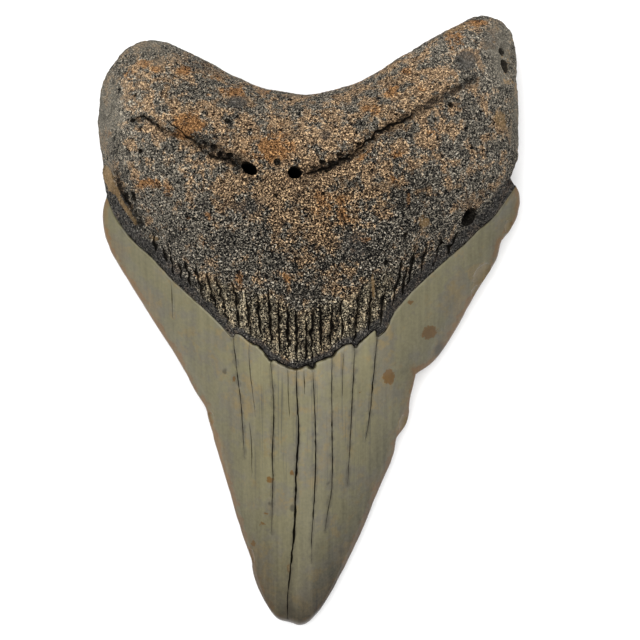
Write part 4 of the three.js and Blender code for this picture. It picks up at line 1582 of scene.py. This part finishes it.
@dataclass(frozen=True)
class EnamelFinish:
    """The finish of the crown: grey-olive enamel with a brown edge, hairlines and spots."""

    olive: Tint = Tint(100, 95, 71)
    cool: Tint = Tint(91, 87, 73)
    tan_tint: Tint = Tint(98, 85, 58)
    rim_tint: Tint = Tint(106, 77, 42)
    chip_tint: Tint = Tint(110, 95, 64)
    mottle_tint: Tint = Tint(106, 93, 62)
    spot_tint: Tint = Tint(84, 58, 15)
    dusk_tint: Tint = Tint(52, 48, 37)
    hairline_tint: Tint = Tint(50, 49, 48)
    streak_cloud: Cloud = Cloud(0.9, 4, 0.6)
    streak_stretch: tuple[float, float, float] = (1.0, 0.06, 0.06)
    hairline_cloud: Cloud = Cloud(0.5, 2, 0.6)
    hairline_stretch: tuple[float, float, float] = (1.0, 0.02, 0.02)
    broad_cloud: Cloud = Cloud(8.0, 4, 0.6)
    knot_cloud: Cloud = Cloud(1.6, 3, 0.6)
    mottle_cloud: Cloud = Cloud(2.6, 4, 0.65)
    fine_cloud: Cloud = Cloud(0.6, 3, 0.6)
    tan: Patch = Patch(Paint.RIM, 0.1, 0.9, 0.6, broad=3.2)
    rim: Patch = Patch(Paint.RIM, 0.62, 0.95, 0.75, knots=1.6)
    spot: Patch = Patch(Paint.RUST, 0.42, 0.56, 0.9, fine=0.8)
    chip: Patch = Patch(Paint.OCHRE, 0.4, 0.52, 0.7, fine=0.5)
    dusk: Patch = Patch(Paint.INK, 0.3, 0.9, 0.75, broad=1.2)
    seam: Patch = Patch(Paint.SEAM, 0.3, 1.1, 0.5, knots=2.0)
    # How far from the root, in mm, the tan tip lies, the hairlines fade out, the root's end is bright and
    # the painted shade towards the tip deepens
    tip_from: Span = (30.0, 52.0)
    hairline_fade: Span = (32.0, 12.0)
    root_end: Span = (10.0, 0.0)
    tip_shade: Span = (20.0, 52.0)

    def dress(self, bench: NodeBench, place: bpy.types.NodeSocket) -> bpy.types.NodeSocket:
        """Makes the enamel's colour.

        Args:
            bench: the material.
            place: the place on the piece.

        Returns:
            The colour.
        """
        streaks = bench.spread(bench.place(self.streak_stretch), self.streak_cloud)
        hairlines = bench.noise(bench.place(self.hairline_stretch), self.hairline_cloud)
        broad, fine = bench.spread(place, self.broad_cloud), bench.spread(place, self.fine_cloud)
        noises = Noises(fine, bench.spread(place, self.knot_cloud), broad)
        colour = bench.blend(bench.ramp_up(broad + noises.knots * 0.3, -0.08, 0.1), self.olive, self.cool)
        mottle = bench.ramp_up(bench.noise(place, self.mottle_cloud) + broad * 0.6, 0.52, 0.68)
        colour = bench.blend(mottle * 0.7, colour, self.mottle_tint)
        patches = (
            (self.tan, self.tan_tint), (self.rim, self.rim_tint), (self.spot, self.spot_tint),
            (self.chip, self.chip_tint), (self.dusk, self.dusk_tint), (self.seam, self.dusk_tint),
        )
        for patch, tint in patches:
            colour = bench.blend(patch.mask(bench, noises) * patch.strength, colour, tint)
        depth, cracked = bench.attribute(Paint.ENAMEL), bench.attribute(Paint.CRACKED)
        colour = bench.blend(bench.ramp_up(depth, *self.tip_from) * 0.4, colour, self.tan_tint)
        dark = bench.ramp_up(hairlines, 0.56, 0.68) * bench.ramp_up(depth, *self.hairline_fade) * cracked
        colour = bench.blend(dark * 0.45, colour, self.hairline_tint)
        light = bench.ramp_up(depth, *self.root_end) * cracked * 0.2
        # painted shade: the enamel is darker towards the tip, along its cutting edges and on the right
        light = light - bench.ramp_up(depth, *self.tip_shade) * 0.5 - bench.attribute(Paint.FLANK) * 0.28
        return bench.shade(colour, light + streaks * 0.6 + broad * 0.5 + fine * 0.45 + 1.03)


@dataclass(frozen=True)
class FossilFinish:
    """The finish of the tooth: matt bone and satin enamel, with painted shade down in the cuts."""

    bone: BoneFinish = BoneFinish()
    enamel: EnamelFinish = EnamelFinish()
    recess_shade_tint: Tint = Tint(17, 15, 12)
    hole_shade_tint: Tint = Tint(2, 2, 2)
    # Where the bone gives way to the enamel, and how deep in mm the cuts are painted dark and darker as
    # shade
    enamel_edge: Span = (-0.06, 0.06)
    cut_depth: Span = (0.03, 0.34)
    hole_depth: Span = (0.7, 1.6)
    edge_cloud: Cloud = Cloud(0.5, 3, 0.7)
    gloss_cloud: Cloud = Cloud(0.35, 3, 0.6)
    # The enamel's own relief: its faint grain, and its level beside the bone's
    enamel_grain: float = 0.06
    enamel_level: float = 0.4
    bump_strength: float = 0.9
    bump_height: float = 0.26 * MM
    enamel_roughness: float = 0.38
    bone_roughness: float = 0.74
    cut_roughness: float = 0.2
    bone_gloss: float = 0.04
    enamel_gloss: float = 0.55
    gloss_roughness: float = 0.4

    def material(self) -> bpy.types.Material:
        """Makes the material.

        Returns:
            The material.
        """
        bench = NodeBench("fossil_tooth")
        place = bench.place()
        enamel = bench.ramp_up(bench.attribute(Paint.ENAMEL), *self.enamel_edge)
        bone_share = 1.0 - enamel
        bone_colour, bone_height = self.bone.dress(bench, place)
        colour = bench.blend(enamel, bone_colour, self.enamel.dress(bench, place))
        depth = bench.attribute(Paint.CUT)
        ragged = bench.spread(place, self.edge_cloud) * 0.8 * (1.0 - enamel * 0.5)
        # painted shade in the cuts and holes, darker the deeper a point lies below the uncut surface
        cut = bench.ramp_up(depth + ragged, *self.cut_depth)
        colour = bench.blend(cut * (bone_share * 0.15 + 0.75), colour, self.recess_shade_tint)
        colour = bench.blend(bench.ramp_up(depth, *self.hole_depth), colour, self.hole_shade_tint)
        enamel_height = bench.noise(place, self.gloss_cloud) * self.enamel_grain + self.enamel_level
        height = bone_height * bone_share + enamel_height * enamel
        bump = bench.node(
            "ShaderNodeBump", {}, Strength=self.bump_strength, Distance=self.bump_height, Height=height,
        )
        rough = bone_share * (self.bone_roughness - self.enamel_roughness) + self.enamel_roughness
        return bench.finish(
            Base_Color=colour, Roughness=rough + cut * self.cut_roughness, Normal=bump.outputs[0],
            Specular_IOR_Level=self.bone_gloss, Coat_Weight=enamel * self.enamel_gloss * (1.0 - cut),
            Coat_Roughness=self.gloss_roughness,
        )


@dataclass(frozen=True)
class Lamp:
    """A square lamp that looks at the tooth: its name, place and size in metres, and its power."""

    name: str
    place: tuple[float, float, float]
    size: float
    power: float

    def hang(self) -> None:
        """Hangs the lamp."""
        lamp = bpy.data.lights.new(self.name, "AREA")
        lamp.shape, lamp.size, lamp.energy = "SQUARE", self.size, self.power
        holder = bpy.data.objects.new(self.name, lamp)
        bpy.context.collection.objects.link(holder)
        holder.location = self.place
        holder.rotation_euler = Vector(self.place).to_track_quat("Z", "Y").to_euler()


@dataclass
class Studio:
    """The pale floor, the soft lights and the camera, which looks straight down."""

    floor_half: float = 4.0
    floor_tint: Tint = Tint(250, 250, 250)
    floor_shade: Tint = Tint(248, 248, 248)
    floor_cloud: Cloud = Cloud(400.0, 1, 0.5)
    floor_roughness: float = 0.9
    floor_height: float = -0.02 * MM
    # A large soft lamp above and a little to the left, and a weaker one on the other side
    lamps: tuple[Lamp, ...] = (
        Lamp("key", (-0.36, 0.42, 1.2), 1.2, 19.0), Lamp("fill", (0.45, -0.35, 1.2), 1.4, 9.0),
    )
    sky_strength: float = 0.7
    pixel: float = 0.19 * MM
    image_pixels: int = 640
    # The middle of the photograph, on the tooth, and the height of the tooth's outline
    view_centre: tuple[float, float] = (2.0 * MM, 0.3 * MM)
    outline_height: float = 6.0 * MM
    distance: float = 1.0
    sensor_mm: float = 36.0
    clip: Span = (0.05, 10.0)

    def build(self) -> None:
        """Sets up all of it."""
        self.lay_floor()
        self.hang_lights()
        self.place_camera()
        scene = bpy.context.scene
        scene.view_settings.view_transform = "Standard"
        scene.view_settings.look = "None"

    def lay_floor(self) -> None:
        """Lays the floor just under the tooth."""
        bpy.ops.object.select_all(action="DESELECT")
        place = (0.0, 0.0, self.floor_height)
        bpy.ops.mesh.primitive_plane_add(size=2.0 * self.floor_half, location=place)
        floor = bpy.context.object
        floor.name = "studio_floor"
        bench = NodeBench("pale_floor")
        cloud = bench.noise(bench.place(), self.floor_cloud)
        colour = bench.blend(cloud, self.floor_tint, self.floor_shade)
        floor.data.materials.append(bench.finish(Base_Color=colour, Roughness=self.floor_roughness))

    def hang_lights(self) -> None:
        """Hangs the lamps, and a white sky."""
        for lamp in self.lamps:
            lamp.hang()
        world = bpy.data.worlds.new("white_sky")
        world.use_nodes = True
        sky = world.node_tree.nodes["Background"]
        sky.inputs["Color"].default_value = (1.0, 1.0, 1.0, 1.0)
        sky.inputs["Strength"].default_value = self.sky_strength
        bpy.context.scene.world = world

    def place_camera(self) -> None:
        """Places the camera so that a pixel is as wide as it is in the photograph."""
        camera = bpy.data.cameras.new("camera")
        camera.sensor_width = self.sensor_mm
        camera.lens = self.sensor_mm * self.distance / (self.image_pixels * self.pixel)
        camera.clip_start, camera.clip_end = self.clip
        holder = bpy.data.objects.new("camera", camera)
        bpy.context.collection.objects.link(holder)
        holder.location = (*self.view_centre, self.outline_height + self.distance)
        bpy.context.scene.camera = holder


@dataclass
class Tooth:
    """The whole tooth, from the blank to its finish."""

    body: ToothBody = field(default_factory=ToothBody)
    carver: Carver = field(default_factory=Carver)
    painter: Painter = field(default_factory=Painter)
    finish: FossilFinish = field(default_factory=FossilFinish)
    crease_angle: float = math.radians(55.0)

    def build(self) -> bpy.types.Object:
        """Models, carves, paints and dresses the tooth, and puts it in place of its plain solid.

        Returns:
            The tooth.
        """
        piece = self.body.slab()
        self.body.stretch(piece)
        self.body.erode(piece)
        log.info("shaped the body: %d faces", len(piece.data.polygons))
        skin = self.carver.carve(piece)
        self.painter.paint(piece, skin, self.carver.cracks, self.body.troughs)
        piece.data.materials.clear()
        piece.data.materials.append(self.finish.material())
        bpy.ops.object.select_all(action="DESELECT")
        piece.select_set(True)
        bpy.context.view_layer.objects.active = piece
        bpy.ops.object.shade_smooth_by_angle(angle=self.crease_angle)
        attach(piece, BODY)
        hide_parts(NODE)
        return piece


def main() -> None:
    """Builds the tooth and the studio."""
    logging.basicConfig(level=logging.INFO, format="%(name)s: %(message)s")
    bpy.ops.object.select_all(action="DESELECT")
    piece = Tooth().build()
    triangles = sum(len(face.vertices) - 2 for face in piece.data.polygons)
    log.info("made %s: %d vertices, %d triangles", piece.name, len(piece.data.vertices), triangles)
    Studio().build()
    log.info("set up the studio")


if __name__ == "__main__":
    main()
